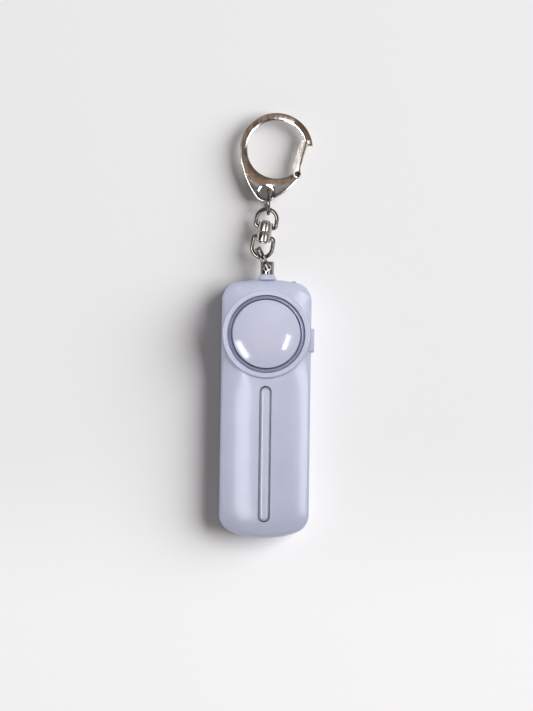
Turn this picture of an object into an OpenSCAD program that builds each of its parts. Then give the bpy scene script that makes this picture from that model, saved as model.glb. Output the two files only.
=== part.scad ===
// Personal safety alarm with a pull pin, a swivel and a snap hook.
// It lies on its back with its face up. X runs across the housing, Y runs from its foot to
// the hook and Z is up. The origin is the middle of the flat back. Sizes are in millimetres.

/* [Housing] */
// Width of the housing
body_w = 31.4; // [31.2:0.1:36]
// Length of the housing
body_l = 90.4; // [86:0.2:104]
// Height of the front face above the back
body_t = 12.6; // [12.4:0.1:15]
// Radius of the curved end that the pin comes out of
top_arc_r = 56; // [45:1:90]
// Radius of the curved foot
foot_arc_r = 32; // [28:1:60]
// Radius of the corners, seen from the front
corner_r = 6.6; // [6.3:0.1:7.6]
// Width of the rounded shoulder round the front face
shoulder_w = 6.2; // [5.4:0.1:6.2]
// Height of the rounded shoulder
shoulder_h = 4.6; // [4:0.1:5]
// Radius of the front face across the housing
crown_r = 64; // [60:1:90]
// Rounding of the back edge
back_r = 2.2; // [1:0.1:2.8]
// Thickness of the walls
wall = 1.6; // [1.3:0.1:1.8]
// Height of the joint between the two shells
parting_z = 3; // [2.9:0.05:3.1]
// Thickness of the lip that locates the shells
lip_t = 0.7; // [0.5:0.05:0.9]
// Height of the lip
lip_h = 0.9; // [0.5:0.1:1.2]

/* [Siren] */
// From the pin end to the turret
siren_gap = 3.55; // [3.4:0.05:5]
// From the side of the housing to the turret
turret_inset = 0.25; // [0:0.05:1]
// Width of the turret's rim
turret_rim = 1.9; // [1.6:0.1:2.2]
// Height of the turret above the front face
turret_h = 1.2; // [0.8:0.1:2]
// Width of the groove between the turret's rim and the dome
groove_w = 1.65; // [1.3:0.05:2.2]
// Height of the dome's top above the turret
dome_h = 1.2; // [0.6:0.1:2.4]
// Thickness of the dome
dome_t = 1.3; // [1:0.1:1.6]
// Sound gap between the dome and the light ring
sound_gap = 0.4; // [0.2:0.05:0.5]
// Number of sound windows under the dome
window_count = 12; // [8:1:16]

/* [Light strip] */
// Width of the slot
strip_slot_w = 4.2; // [3.6:0.1:5]
// Width of the raised bar in the slot
strip_bar_w = 2.9; // [2:0.1:3.2]
// From the turret to the top of the slot
strip_gap = 2.75; // [1.6:0.05:6]
// From the foot to the lower end of the slot
strip_foot_gap = 5.6; // [5.6:0.1:12]

/* [Side key] */
// Length of the key
key_l = 8.4; // [6:0.1:9]
// Height of the key
key_h = 3; // [2:0.1:3.2]
// How far the key stands out of the side
key_proud = 1.1; // [0.9:0.1:1.6]
// Travel of the key
key_travel = 0.6; // [0.3:0.05:0.7]
// From the middle of the siren to the middle of the key
key_gap = 2.1; // [1.5:0.1:2.5]

/* [Torch] */
// Diameter of the torch LED
torch_d = 3; // [2.6:0.1:3]
// From the side of the housing to the torch LED
torch_inset = 6.5; // [6.3:0.1:7.1]
// How far the torch LED stands out of the end
torch_proud = 0.4; // [0.3:0.1:1]
// Length of the torch LED
torch_l = 4.6; // [4.4:0.1:5]

/* [Supply] */
// Diameter of a coin cell
cell_d = 20; // [16:0.1:20]
// Height of a coin cell
cell_h = 3.2; // [1.6:0.1:3.2]
// Underside of the circuit board above the back
board_z = 5.6; // [5.6:0.05:5.8]
// Thickness of the circuit board
board_t = 1; // [0.8:0.1:1]

/* [Case screws] */
// From the side of the housing to the screws
screw_inset = 5.2; // [5.1:0.05:5.4]
// From the foot to the lower pair of screws
screw_foot_gap = 7.6; // [7.4:0.1:7.7]
// Gap between the screw posts and the cell holder
post_gap = 0.2; // [0.1:0.05:0.6]
// Diameter of a screw's shank
screw_d = 1.7; // [1.4:0.1:1.8]
// Diameter of a screw's head
screw_head_d = 3.9; // [3.2:0.1:3.9]

/* [Pull pin] */
// Height of the pin's middle line above the back
pin_z = 6.8; // [6.75:0.05:6.9]
// Diameter of the pin's shank
pin_d = 2.4; // [2:0.1:2.4]
// Diameter of the pin's head
pin_head_d = 4.7; // [4.4:0.1:5.2]
// Length of the pin's head
pin_head_l = 4.5; // [4.4:0.1:5.5]
// Diameter of the hole through the pin's head
pin_eye_d = 3; // [2.9:0.05:3.1]
// Diameter of the collar where it meets the housing
collar_foot_d = 6.4; // [6:0.1:7.2]
// Diameter of the collar where it meets the head
collar_top_d = 4.9; // [4.8:0.1:5.6]
// Height of the collar
collar_h = 1.9; // [1.5:0.1:2.4]

/* [Split ring] */
// Outer diameter of the split ring
split_d = 8.85; // [8.7:0.05:9.2]
// Diameter of its wire
split_wire = 0.9; // [0.8:0.05:0.9]
// Distance between its two turns
split_pitch = 1.34; // [1.32:0.02:1.4]
// How far it has swung to the left at rest
split_turn = 27; // [20:1:30]

/* [Swivel] */
// How far the swivel leans to the right at rest
swivel_turn = 8.5; // [5:0.5:10]
// Height of the swivel's middle line above the back
swivel_z = 5; // [4.9:0.05:5.2]
// Length between the two bails' outer wires
swivel_l = 17.1; // [17:0.1:20]
// Diameter of the bails' wire
bail_wire = 1.4; // [1.2:0.05:1.45]
// Width of a bail between the middles of its legs
bail_w = 7.2; // [7.1:0.1:8.4]
// Diameter of the swivel's barrels
barrel_d = 5.2; // [4:0.1:5.2]
// Height of one barrel
barrel_h = 3.4; // [2.8:0.1:3.5]
// Diameter of the rivet
rivet_d = 1.8; // [1.4:0.1:1.8]

/* [Jump ring] */
// Outer diameter of the jump ring
jump_d = 9.6; // [9.5:0.05:10]
// Diameter of its wire
jump_wire = 1.3; // [1.1:0.05:1.35]

/* [Snap hook] */
// Inner diameter of the hook's bow
bow_d = 20.5; // [19:0.1:21]
// Width of the bow's bar
bow_w = 2.55; // [2.4:0.05:3]
// Thickness of the hook
hook_t = 3; // [2.8:0.1:3.1]
// Diameter of the hook's eye
eye_d = 4.4; // [4.2:0.1:4.6]
// Width of the rim round the eye
eye_rim = 0.8; // [0.7:0.05:1.35]
// Depth of the recesses beside the eye
recess = 0.55; // [0.3:0.05:0.8]
// Width of the gate
gate_w = 2.6; // [2.2:0.1:2.7]
// Thickness of the gate
gate_t = 2.6; // [2.4:0.1:2.7]

/* [Hidden] */
$fn = 64;

// Clearances
fit = 0.1;       // between moulded pieces
running = 0.05;  // round pins and shafts
over = 1;        // how far a cut runs past a face

// Colours
lilac = [0.80, 0.82, 0.90];
pale_clear = [0.78, 0.84, 0.95];
steel = [0.72, 0.70, 0.68];
brass = [0.80, 0.66, 0.36];
board_green = [0.12, 0.36, 0.24];
black = [0.12, 0.12, 0.13];
lamp_white = [0.96, 0.95, 0.86];
cell_silver = [0.82, 0.82, 0.80];

// Housing
top_y = body_l / 2;
side_x = body_w / 2;
least_corner_r = 0.3;
corner_steps = 7;
end_steps = 8;
shoulder_steps = 7;
shoulder_r = (pow(shoulder_w, 2) + pow(shoulder_h, 2)) / (2 * shoulder_h);
shoulder_c = body_t - shoulder_r;
crown_rise = 0.15;
crown_steps = 13;
crown_turn = asin((side_x + over) / crown_r);
ceiling_z = body_t - wall;
floor_r = 0.8;
back_steps = 4;

// Siren
turret_r = side_x - turret_inset;
siren_y = top_y - siren_gap - turret_r;
turret_z = body_t + turret_h;
turret_round = 0.7;
turret_foot_z = body_t - shoulder_h + 0.5;
opening_r = turret_r - turret_rim;
ring_flange = 0.65;
ring_flange_r = opening_r + ring_flange;
ring_base_t = 0.8;
ring_base_z = ceiling_z - ring_base_t;
ring_depth = 1.2;
dome_r = opening_r - groove_w;
dome_edge_z = turret_z - 0.9;
dome_top_z = turret_z + dome_h;
dome_sag = dome_top_z - dome_edge_z;
dome_sphere_r = (pow(dome_r, 2) + pow(dome_sag, 2)) / (2 * dome_sag);
skirt_r = dome_r - 1.9;
skirt_t = 0.8;
window_inner_r = skirt_r + 0.3;
window_outer_r = dome_r - 0.2;
window_share = 0.62;
holder_r = dome_r + 0.7;
holder_wall = 1;
holder_h = 1.6;
holder_z = ring_base_z - holder_h;
ledge_w = 1;
ledge_t = 0.4;
holder_post_d = 2;
holder_post_turn = 40;
plate_t = 0.25;
plate_r = holder_r - holder_wall - fit;
ceramic_t = 0.2;
ceramic_r = plate_r - 2.8;

// Light strip
strip_top_y = siren_y - turret_r - strip_gap;
strip_foot_y = strip_foot_gap - top_y;
strip_flange = 1;
strip_flange_t = 0.8;
strip_groove = 0.8;
strip_sink = 0.1;

// Circuit board and what stands on it
board_top_z = board_z + board_t;
board_gap = 0.4;
component_step = [3.5, 6];
chip_size = [3.9, 4.9, 1.4];
chip_leg = [1.1, 0.45, 0.3];
chip_leg_count = 4;
chip_leg_pitch = 1.27;
coil_r = 2.9;
coil_waist_r = 2.1;
coil_flange_t = 0.5;
coil_h = 2.6;
small_size = [2, 1.25, 0.6];
small_pitch = 4;
small_step = 10;
led_size = [3.5, 2.8, 0.8];
strip_led_count = 4;
ring_led_gap = 1.2;
ring_led_turn = 55;

// Side key and its switch
key_y = siren_y - key_gap;
key_z = board_top_z + key_h / 2 + 2 * fit;
key_round = 1;
key_flange = 1;
key_flange_t = 0.9;
key_flange_z = board_top_z + 2 * fit;
key_flange_h = 1;
key_back_x = side_x - wall - fit - key_flange_t;
plunger_size = [1.1, 1.8, 0.9];
plunger_bite = 0.3;
switch_size = [3.5, 5, 1.5];
switch_x = key_back_x - plunger_size[0] + plunger_bite;
plunger_z = board_top_z + switch_size[2] / 2;

// Pull pin
collar_y = top_y;
head_y = collar_y + collar_h;
eye_y = head_y + 2.3;
pin_neck_d = 3;
pin_boss_d = collar_foot_d + 0.4;
boss_depth = 0.8;
pin_chamfer = 0.4;
socket_in_y = siren_y + holder_r + 0.4;
socket_out_y = top_y - wall - boss_depth - fit;
socket_w = 6.4;
socket_h = 2.8;
socket_ear = 1.8;
socket_ear_t = 0.8;
contact_t = 0.3;
contact_h = 1.6;

// Torch LED
torch_x = side_x - torch_inset;
torch_z = body_t - shoulder_h - torch_d / 2;
torch_flange_t = 0.8;
torch_end_y = top_y - top_arc_r + sqrt(pow(top_arc_r, 2) - pow(torch_x, 2)) + torch_proud;
torch_back_y = torch_end_y - torch_l;
torch_flange_d = torch_d + 0.2;
lead_t = 0.5;
lead_l = 1.2;

// Coin cells
cell_z = wall + 0.2;
cell_pitch = cell_d + 1;
cell_wall = 1;
cell_fit = 0.15;
cell_ring_d = cell_d + 2 * (cell_fit + cell_wall);
contact_d = 7;

// Case screws, with a pair below and a pair above the cells
post_d = 4.2;
post_top_z = ceiling_z - 0.4;
rear_post_d = 5.8;
screw_x = side_x - screw_inset;
screw_low_y = screw_foot_gap - top_y;
screw_reach = (cell_ring_d + rear_post_d) / 2 + post_gap;
screw_step = sqrt(max(pow(screw_reach, 2) - pow(screw_x, 2), 0));
cell_low_y = screw_low_y + screw_step;
screw_high_y = cell_low_y + cell_pitch + screw_step;
screw_places = [for (x = [-screw_x, screw_x], y = [screw_low_y, screw_high_y]) [x, y]];
component_x = screw_x - component_step[0];
component_y = screw_high_y - component_step[1];
head_sink = 0.3;
head_t = 1.5;
head_hole_d = screw_head_d + 0.3;
shank_top_z = post_top_z - 0.8;

// Split ring, in the hole of the pin's head
eye = [0, eye_y, pin_z];
split_r = (split_d - split_wire) / 2;
split_hang = 0.35;
split_jog = 50;
split_end_gap = 6;
split_sides = 8;
split_steps = 44;
split_sweep = 720 - split_jog - 2 * split_end_gap;
split_middle = eye + (split_r - split_hang) * [-sin(split_turn), cos(split_turn), 0];

// Swivel, from the lower bail's wire
swivel_foot = [-2.45, eye_y + 3.7, swivel_z];
swivel_axis = [sin(swivel_turn), cos(swivel_turn), 0];
swivel_top = swivel_foot + swivel_l * swivel_axis;
bail_r = bail_w / 2;
elbow_r = 1;
barrel_gap = 0.12;
barrel_chamfer = 0.35;
lower_barrel_y = 5.5;
upper_barrel_y = lower_barrel_y + barrel_h + barrel_gap;
trunnion_depth = 0.8;
rivet_head_d = 3;
rivet_head_t = 0.6;

// Jump ring, standing on the surface that the alarm lies on
jump_r = (jump_d - jump_wire) / 2;
jump_slack = 0.25;
jump_middle = [0.1, swivel_top[1] + jump_r - jump_wire / 2 - bail_wire / 2 - jump_slack, jump_d / 2 + 0.05];
jump_cut = 4;
jump_pin = [jump_middle[0], jump_middle[1] + jump_r];

// Snap hook, about the middle of its bow
hook_z = jump_middle[2] - 1.15;
eye_place = [-3.57, -15.1];
tip_r = 3.6;
tip_place = eye_place + [-0.58, 0.23];
tip_y = tip_place[1] - 0.63 * tip_r;
hook_middle = [jump_pin[0] - 1, jump_pin[1] - 0.7] - eye_place;
bow_r = bow_d / 2;
bow_outer_r = bow_r + bow_w;
bow_bevel = 0.55;
left_edge_r = 28;
left_edge_c = [left_edge_r - bow_outer_r, 0];
right_edge_r = 23.7;
right_edge_c = [-11.1, 4];
rim_w = 0.65;
crescent_r = bow_outer_r - 1.05;
crescent_c = [-1.9, -1.4];
nose_turn = 6;
gate_pivot = [7.45, -8.65];
gate_tip = [9.6, 2.4];
gate_l = norm(gate_tip - gate_pivot);
gate_turn = atan2(gate_tip[0] - gate_pivot[0], gate_tip[1] - gate_pivot[1]);
ear_turn = atan2(gate_pivot[1], gate_pivot[0]);
tongue_t = 1.7;
tongue_r = gate_w / 2;
gate_clear = 0.35;
gate_web = 0.7;
gate_solid_tip = 2.6;
gate_heel = [0.9, 1.3];
gate_pin_d = 1.2;
gate_pin_head_d = 2;
gate_pin_head_t = 0.22;
spring_t = 0.25;

// Points on an arc
function arc_points(middle, r, from, to, steps) =
    [for (i = [0:steps]) let (a = from + (to - from) * i / steps) middle + r * [cos(a), sin(a)]];

// A list without its two ends, which the neighbouring arcs already hold
function without_ends(points) = [for (i = [1:len(points) - 2]) points[i]];

// Outline of the housing, drawn in by a distance: two straight sides, two curved ends, four corners
function outline(inset) =
    let (
        w = side_x - inset,
        r = max(corner_r - inset, least_corner_r),
        top_r = top_arc_r - inset,
        foot_r = foot_arc_r - inset,
        top_c = top_y - top_arc_r,
        foot_c = foot_arc_r - top_y,
        top_k = top_c + sqrt(pow(top_r - r, 2) - pow(w - r, 2)),
        foot_k = foot_c - sqrt(pow(foot_r - r, 2) - pow(w - r, 2)),
        top_a = atan2(top_k - top_c, w - r),
        foot_a = atan2(foot_k - foot_c, w - r)
    ) concat(
        arc_points([w - r, foot_k], r, foot_a, 0, corner_steps),
        arc_points([w - r, top_k], r, 0, top_a, corner_steps),
        without_ends(arc_points([0, top_c], top_r, top_a, 180 - top_a, end_steps)),
        arc_points([r - w, top_k], r, 180 - top_a, 180, corner_steps),
        arc_points([r - w, foot_k], r, 180, 180 - foot_a, corner_steps),
        without_ends(arc_points([0, foot_c], foot_r, 180 - foot_a, 360 + foot_a, end_steps))
    );

// Side faces between rings of points that lie above each other
function side_faces(ring_count, n) = [
    for (k = [0:ring_count - 2], i = [0:n - 1])
        let (j = (i + 1) % n)
            each [
                [k * n + i, (k + 1) * n + i, (k + 1) * n + j],
                [k * n + i, (k + 1) * n + j, k * n + j]
            ]
];

// Solid through rings of points, from the lowest to the highest
module skin(rings) {
    n = len(rings[0]);
    last = (len(rings) - 1) * n;
    polyhedron(
        points = [for (ring = rings) each ring],
        faces = concat(
            [[for (i = [0:n - 1]) i]],
            side_faces(len(rings), n),
            [[for (i = [n - 1:-1:0]) last + i]]
        )
    );
}

// Housing form through levels of [inset, height]
module loft(levels) {
    skin([for (level = levels) [for (p = outline(level[0])) [p[0], p[1], level[1]]]]);
}

// Levels of the front shoulder for a surface of radius r about a height, from an inset upwards
function shoulder_levels(r, height, inset, steps) =
    let (from = acos((shoulder_w - inset) / r))
        [for (i = [0:steps]) let (a = from + (90 - from) * i / steps)
            [shoulder_w - r * cos(a), height + r * sin(a)]];

front_outer = concat(
    [[0, parting_z]],
    shoulder_levels(shoulder_r, shoulder_c + crown_rise, 0, shoulder_steps)
);
front_inner = concat(
    [[wall, parting_z - over]],
    shoulder_levels(shoulder_r - wall, shoulder_c, wall, shoulder_steps - 2)
);
rear_outer = concat(
    [for (i = [0:back_steps]) let (a = 90 * i / back_steps) [back_r * (1 - sin(a)), back_r * (1 - cos(a))]],
    [[0, parting_z]]
);
rear_inner = [[wall + floor_r, wall], [wall, wall + floor_r], [wall, parting_z + over]];

// Cylinder along Y from y0 to y1
module rod_y(d, y0, y1) {
    translate([0, y0, 0]) rotate([-90, 0, 0]) cylinder(d = d, h = y1 - y0);
}

// Cylinder along X from x0 to x1
module rod_x(d, x0, x1) {
    translate([x0, 0, 0]) rotate([0, 90, 0]) cylinder(d = d, h = x1 - x0);
}

// Bar with round ends along Y, from y0 to y1 and z0 to z1
module round_bar(w, y0, y1, z0, z1) {
    translate([0, 0, z0]) linear_extrude(z1 - z0) {
        translate([-w / 2, y0 + w / 2]) square([w, y1 - y0 - w]);
        for (y = [y0 + w / 2, y1 - w / 2]) translate([0, y]) circle(d = w);
    }
}

// Rectangle with round corners about the origin
module round_rect(l, h, r) {
    square([l - 2 * r, h], center = true);
    square([l, h - 2 * r], center = true);
    for (x = [-1, 1], y = [-1, 1]) translate([x * (l / 2 - r), y * (h / 2 - r)]) circle(r);
}

// Key-shaped prism along X, from x0 to x1
module key_prism(l, h, r, x0, x1) {
    translate([x0, 0, 0]) rotate([90, 0, 90]) linear_extrude(x1 - x0) round_rect(l, h, r);
}

// Sector of a ring, centred on an angle
module ring_sector(inner_r, outer_r, z0, z1, middle, angle) {
    rotate([0, 0, middle - angle / 2]) rotate_extrude(angle = angle)
        translate([inner_r, z0]) square([outer_r - inner_r, z1 - z0]);
}

// Space below the front face, which is curved across the housing
module under_crown() {
    rotate([90, 0, 0]) linear_extrude(2 * body_l, center = true) polygon(concat(
        arc_points([0, body_t - crown_r], crown_r, 90 - crown_turn, 90 + crown_turn, crown_steps),
        [[-side_x - over, 0], [side_x + over, 0]]
    ));
}

module at_siren() {
    translate([0, siren_y, 0]) children();
}

module at_screws() {
    for (p = screw_places) translate([p[0], p[1], 0]) children();
}

// Raised wall round the siren, with rounded edges
module turret() {
    at_siren() rotate_extrude() {
        translate([opening_r, turret_foot_z]) square([turret_rim, turret_z - turret_foot_z - turret_round]);
        translate([opening_r + turret_round, turret_foot_z])
            square([turret_rim - 2 * turret_round, turret_z - turret_foot_z]);
        for (r = [opening_r + turret_round, turret_r - turret_round])
            translate([r, turret_z - turret_round]) circle(turret_round);
    }
}

module front_shell() {
    color(lilac) {
        difference() {
            union() {
                intersection() {
                    loft(front_outer);
                    under_crown();
                }
                turret();
            }
            difference() {
                loft(front_inner);
                translate([0, 0, pin_z]) rod_y(pin_boss_d, top_y - wall - boss_depth, top_y);
            }
            translate([0, 0, parting_z - over])
                linear_extrude(over + lip_h + fit) polygon(outline(wall - lip_t - fit));
            at_siren() {
                translate([0, 0, ceiling_z - over]) cylinder(r = opening_r, h = wall + turret_h + 2 * over);
                translate([0, 0, board_top_z])
                    cylinder(r = ring_flange_r + fit, h = ceiling_z - board_top_z);
            }
            round_bar(strip_slot_w, strip_foot_y, strip_top_y, ceiling_z - over, body_t + over);
            translate([0, key_y, key_z])
                key_prism(key_l + 2 * fit, key_h + 2 * fit, key_round + fit,
                    side_x - wall - over, side_x + over);
            translate([torch_x, 0, torch_z])
                rod_y(torch_d + 2 * running, torch_end_y - 4 * wall, top_y + over);
            translate([0, 0, pin_z]) rod_y(pin_d + 2 * running, socket_out_y, top_y + over);
        }
        difference() {
            at_screws() translate([0, 0, board_top_z]) cylinder(d = post_d, h = post_top_z - board_top_z);
            at_screws() translate([0, 0, board_top_z - over])
                cylinder(d = screw_d + running, h = shank_top_z + fit - board_top_z + over);
        }
    }
}

module rear_shell() {
    color(lilac) difference() {
        union() {
            difference() {
                loft(rear_outer);
                loft(rear_inner);
            }
            translate([0, 0, parting_z - lip_h]) linear_extrude(2 * lip_h) difference() {
                polygon(outline(wall - lip_t));
                polygon(outline(wall));
            }
            at_screws() translate([0, 0, wall / 2]) cylinder(d = rear_post_d, h = board_z - wall / 2);
        }
        at_screws() {
            translate([0, 0, -over]) cylinder(d = screw_d + 4 * fit, h = board_z + 2 * over);
            translate([0, 0, -over]) cylinder(d = head_hole_d, h = over + head_sink + head_t);
        }
    }
}

module siren_dome() {
    color(lilac) at_siren() {
        // Cap: the space between two spheres, cut off square at its edge
        intersection() {
            difference() {
                translate([0, 0, dome_top_z - dome_sphere_r]) sphere(dome_sphere_r);
                translate([0, 0, dome_top_z - dome_sphere_r]) sphere(dome_sphere_r - dome_t);
            }
            translate([0, 0, dome_edge_z - dome_t]) cylinder(r = dome_r, h = dome_sag + 2 * dome_t);
        }
        // Skirt that stands on the base of the light ring
        intersection() {
            translate([0, 0, ring_base_z + ring_base_t]) difference() {
                cylinder(r = skirt_r, h = dome_top_z - ring_base_z - ring_base_t);
                translate([0, 0, -over]) cylinder(r = skirt_r - skirt_t, h = dome_top_z);
            }
            translate([0, 0, dome_top_z - dome_sphere_r]) sphere(dome_sphere_r - dome_t / 2);
        }
    }
}

module light_ring() {
    ring_inner_r = dome_r + sound_gap;
    color(pale_clear) at_siren() difference() {
        rotate_extrude() polygon([
            [skirt_r - skirt_t, ring_base_z],
            [ring_flange_r, ring_base_z],
            [ring_flange_r, ceiling_z],
            [opening_r - fit, ceiling_z],
            [opening_r - fit, turret_z - ring_depth],
            [ring_inner_r, turret_z - ring_depth - fit],
            [ring_inner_r, ceiling_z],
            [skirt_r - skirt_t, ceiling_z]
        ]);
        for (i = [0:window_count - 1])
            ring_sector(window_inner_r, window_outer_r, ring_base_z - over, ceiling_z + over,
                i * 360 / window_count, window_share * 360 / window_count);
    }
}

module light_strip() {
    flat_foot_y = shoulder_w - top_y + fit;
    flange_l = strip_top_y + strip_flange - flat_foot_y;
    color(pale_clear) {
        round_bar(strip_slot_w - 2 * fit, strip_foot_y + fit, strip_top_y - fit,
            ceiling_z, body_t - strip_groove);
        round_bar(strip_bar_w, strip_foot_y + (strip_slot_w - strip_bar_w) / 2,
            strip_top_y - (strip_slot_w - strip_bar_w) / 2, ceiling_z, body_t - strip_sink);
        translate([-strip_slot_w / 2 - strip_flange, flat_foot_y, ceiling_z - strip_flange_t])
            cube([strip_slot_w + 2 * strip_flange, flange_l, strip_flange_t]);
    }
}

module side_button() {
    chamfer = 0.4;
    color(lilac) {
        translate([0, key_y, key_z]) {
            key_prism(key_l, key_h, key_round, key_back_x + key_flange_t, side_x + key_proud - chamfer);
            hull() {
                key_prism(key_l, key_h, key_round,
                    side_x + key_proud - chamfer - fit, side_x + key_proud - chamfer);
                key_prism(key_l - 2 * chamfer, key_h - 2 * chamfer, key_round - chamfer / 2,
                    side_x + key_proud - fit, side_x + key_proud);
            }
        }
        translate([key_back_x, key_y - key_l / 2 - key_flange, key_flange_z])
            cube([key_flange_t, key_l + 2 * key_flange, key_flange_h]);
    }
}

module torch_led() {
    round_l = torch_d / 2;
    color(pale_clear) translate([torch_x, 0, torch_z]) {
        rod_y(torch_d, torch_back_y, torch_end_y - round_l);
        intersection() {
            translate([0, torch_end_y - round_l, 0]) sphere(d = torch_d);
            rod_y(torch_d + over, torch_end_y - round_l, torch_end_y + over);
        }
        rod_y(torch_flange_d, torch_back_y, torch_back_y + torch_flange_t);
        for (x = [-0.6, 0.6]) translate([x - lead_t / 2, torch_back_y - lead_l, board_top_z - torch_z])
            cube([lead_t, lead_l + fit, lead_t]);
    }
}

module siren_holder() {
    inner_r = holder_r - holder_wall;
    color(black) at_siren() {
        rotate_extrude() polygon([
            [inner_r - ledge_w, holder_z],
            [holder_r, holder_z],
            [holder_r, ring_base_z],
            [inner_r, ring_base_z],
            [inner_r, holder_z + ledge_t],
            [inner_r - ledge_w, holder_z + ledge_t]
        ]);
        for (a = [holder_post_turn, 180 - holder_post_turn, 180 + holder_post_turn, -holder_post_turn])
            rotate([0, 0, a]) translate([inner_r - ledge_w / 2, 0, board_top_z])
                cylinder(d = holder_post_d, h = holder_z + ledge_t - board_top_z);
    }
}

module piezo_plate() {
    color(brass) at_siren() translate([0, 0, holder_z + ledge_t]) cylinder(r = plate_r, h = plate_t);
}

module piezo_ceramic() {
    color(cell_silver) at_siren() translate([0, 0, holder_z + ledge_t + plate_t])
        cylinder(r = ceramic_r, h = ceramic_t);
}

module circuit_board() {
    notch_w = pin_boss_d + 4 * fit;
    torch_notch_w = torch_flange_d + 4 * fit;
    color(board_green) translate([0, 0, board_z]) difference() {
        linear_extrude(board_t) polygon(outline(wall + board_gap));
        at_screws() translate([0, 0, -over]) cylinder(d = screw_d + 4 * fit, h = board_t + 2 * over);
        translate([-notch_w / 2, socket_in_y - 2 * fit, -over]) cube([notch_w, body_l, board_t + 2 * over]);
        translate([torch_x - torch_notch_w / 2, torch_back_y - 2 * fit, -over])
            cube([torch_notch_w, body_l, board_t + 2 * over]);
    }
}

// Box that stands on the board, about its own middle
module on_board(place, size) {
    translate([place[0] - size[0] / 2, place[1] - size[1] / 2, board_top_z]) cube(size);
}

module driver_chip() {
    leg_x = (chip_size[0] + chip_leg[0]) / 2 - chip_leg[2] / 2;
    first_leg_y = -chip_leg_pitch * (chip_leg_count - 1) / 2;
    place = [component_x, component_y];
    color(black) {
        on_board(place, chip_size);
        for (side = [-1, 1], i = [0:chip_leg_count - 1])
            on_board(place + [side * leg_x, first_leg_y + i * chip_leg_pitch], chip_leg);
    }
}

module boost_coil() {
    color(black) translate([-component_x, component_y, board_top_z]) {
        cylinder(r = coil_r, h = coil_flange_t);
        cylinder(r = coil_waist_r, h = coil_h);
        translate([0, 0, coil_h - coil_flange_t]) cylinder(r = coil_r, h = coil_flange_t);
    }
}

module small_parts() {
    color(cell_silver) for (x = [-1, 1], i = [0:2])
        on_board([x * component_x, component_y - small_step - i * small_pitch], small_size);
}

module strip_leds() {
    pitch = (strip_top_y - strip_foot_y) / strip_led_count;
    color(lamp_white) for (i = [0:strip_led_count - 1])
        on_board([0, strip_top_y - (i + 0.5) * pitch], [led_size[1], led_size[0], led_size[2]]);
}

module ring_leds() {
    r = holder_r + ring_led_gap;
    color(lamp_white) for (x = [-1, 1], y = [-1, 1])
        on_board([x * r * cos(ring_led_turn), siren_y + y * r * sin(ring_led_turn)],
            [led_size[1], led_size[1], led_size[2]]);
}

module side_switch() {
    bore = [plunger_size[0] + key_travel, plunger_size[1] + fit, plunger_size[2] + fit];
    bore_x = switch_x - plunger_bite - key_travel - fit;
    color(black) difference() {
        translate([switch_x - switch_size[0], key_y - switch_size[1] / 2, board_top_z]) cube(switch_size);
        translate([bore_x, key_y - bore[1] / 2, plunger_z - bore[2] / 2]) cube(bore);
    }
}

module switch_plunger() {
    color(lamp_white) translate([key_back_x - plunger_size[0] / 2, key_y, plunger_z])
        cube(plunger_size, center = true);
}

module pin_socket() {
    socket_l = socket_out_y - socket_in_y;
    window_d = pin_d + 2 * (running + contact_t + fit);
    color(black) difference() {
        union() {
            translate([-socket_w / 2, socket_in_y, pin_z - socket_h / 2])
                cube([socket_w, socket_l, socket_h]);
            translate([-socket_w / 2 - socket_ear, socket_in_y, board_top_z])
                cube([socket_w + 2 * socket_ear, socket_l, socket_ear_t]);
        }
        translate([0, 0, pin_z]) rod_y(pin_d + 2 * running, socket_in_y - over, socket_out_y + over);
        translate([-window_d / 2, socket_in_y + wall / 2, pin_z - contact_h / 2 - fit])
            cube([window_d, socket_l - wall, contact_h + 2 * fit]);
    }
}

module pin_contacts() {
    contact_l = socket_out_y - socket_in_y - wall - 2 * fit;
    color(brass) for (side = [0, 1]) mirror([side, 0, 0])
        translate([pin_d / 2 + running, socket_in_y + wall / 2 + fit, pin_z - contact_h / 2])
            cube([contact_t, contact_l, contact_h]);
}

module at_cells() {
    for (i = [0, 1]) translate([0, cell_low_y + i * cell_pitch, 0]) children();
}

module coin_cells() {
    cap_inset = 1.4;
    can_share = 0.85;
    color(cell_silver) at_cells() translate([0, 0, cell_z]) {
        cylinder(d = cell_d, h = cell_h * can_share);
        cylinder(d = cell_d - 2 * cap_inset, h = cell_h);
    }
}

module cell_holder() {
    color(black) difference() {
        at_cells() translate([0, 0, cell_z]) cylinder(d = cell_ring_d, h = board_z - cell_z);
        at_cells() {
            translate([0, 0, cell_z - over]) cylinder(d = cell_d + 2 * cell_fit, h = over + cell_h + fit);
            cylinder(d = contact_d + 4 * fit, h = board_z + over);
        }
    }
}

module cell_contacts() {
    color(brass) at_cells() translate([0, 0, cell_z + cell_h])
        cylinder(d = contact_d, h = board_z - cell_z - cell_h);
}

module case_screws() {
    drive_w = 0.6;
    drive_depth = 0.7;
    color(steel) at_screws() difference() {
        union() {
            translate([0, 0, head_sink]) cylinder(d = screw_head_d, h = head_t);
            cylinder(d = screw_d, h = shank_top_z);
        }
        translate([0, 0, -over]) {
            cylinder(d = screw_head_d + over, h = over + head_sink);
            for (a = [0, 90]) rotate([0, 0, a])
                translate([-screw_head_d / 3, -drive_w / 2, 0])
                    cube([screw_head_d * 2 / 3, drive_w, over + head_sink + drive_depth]);
        }
    }
}

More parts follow.
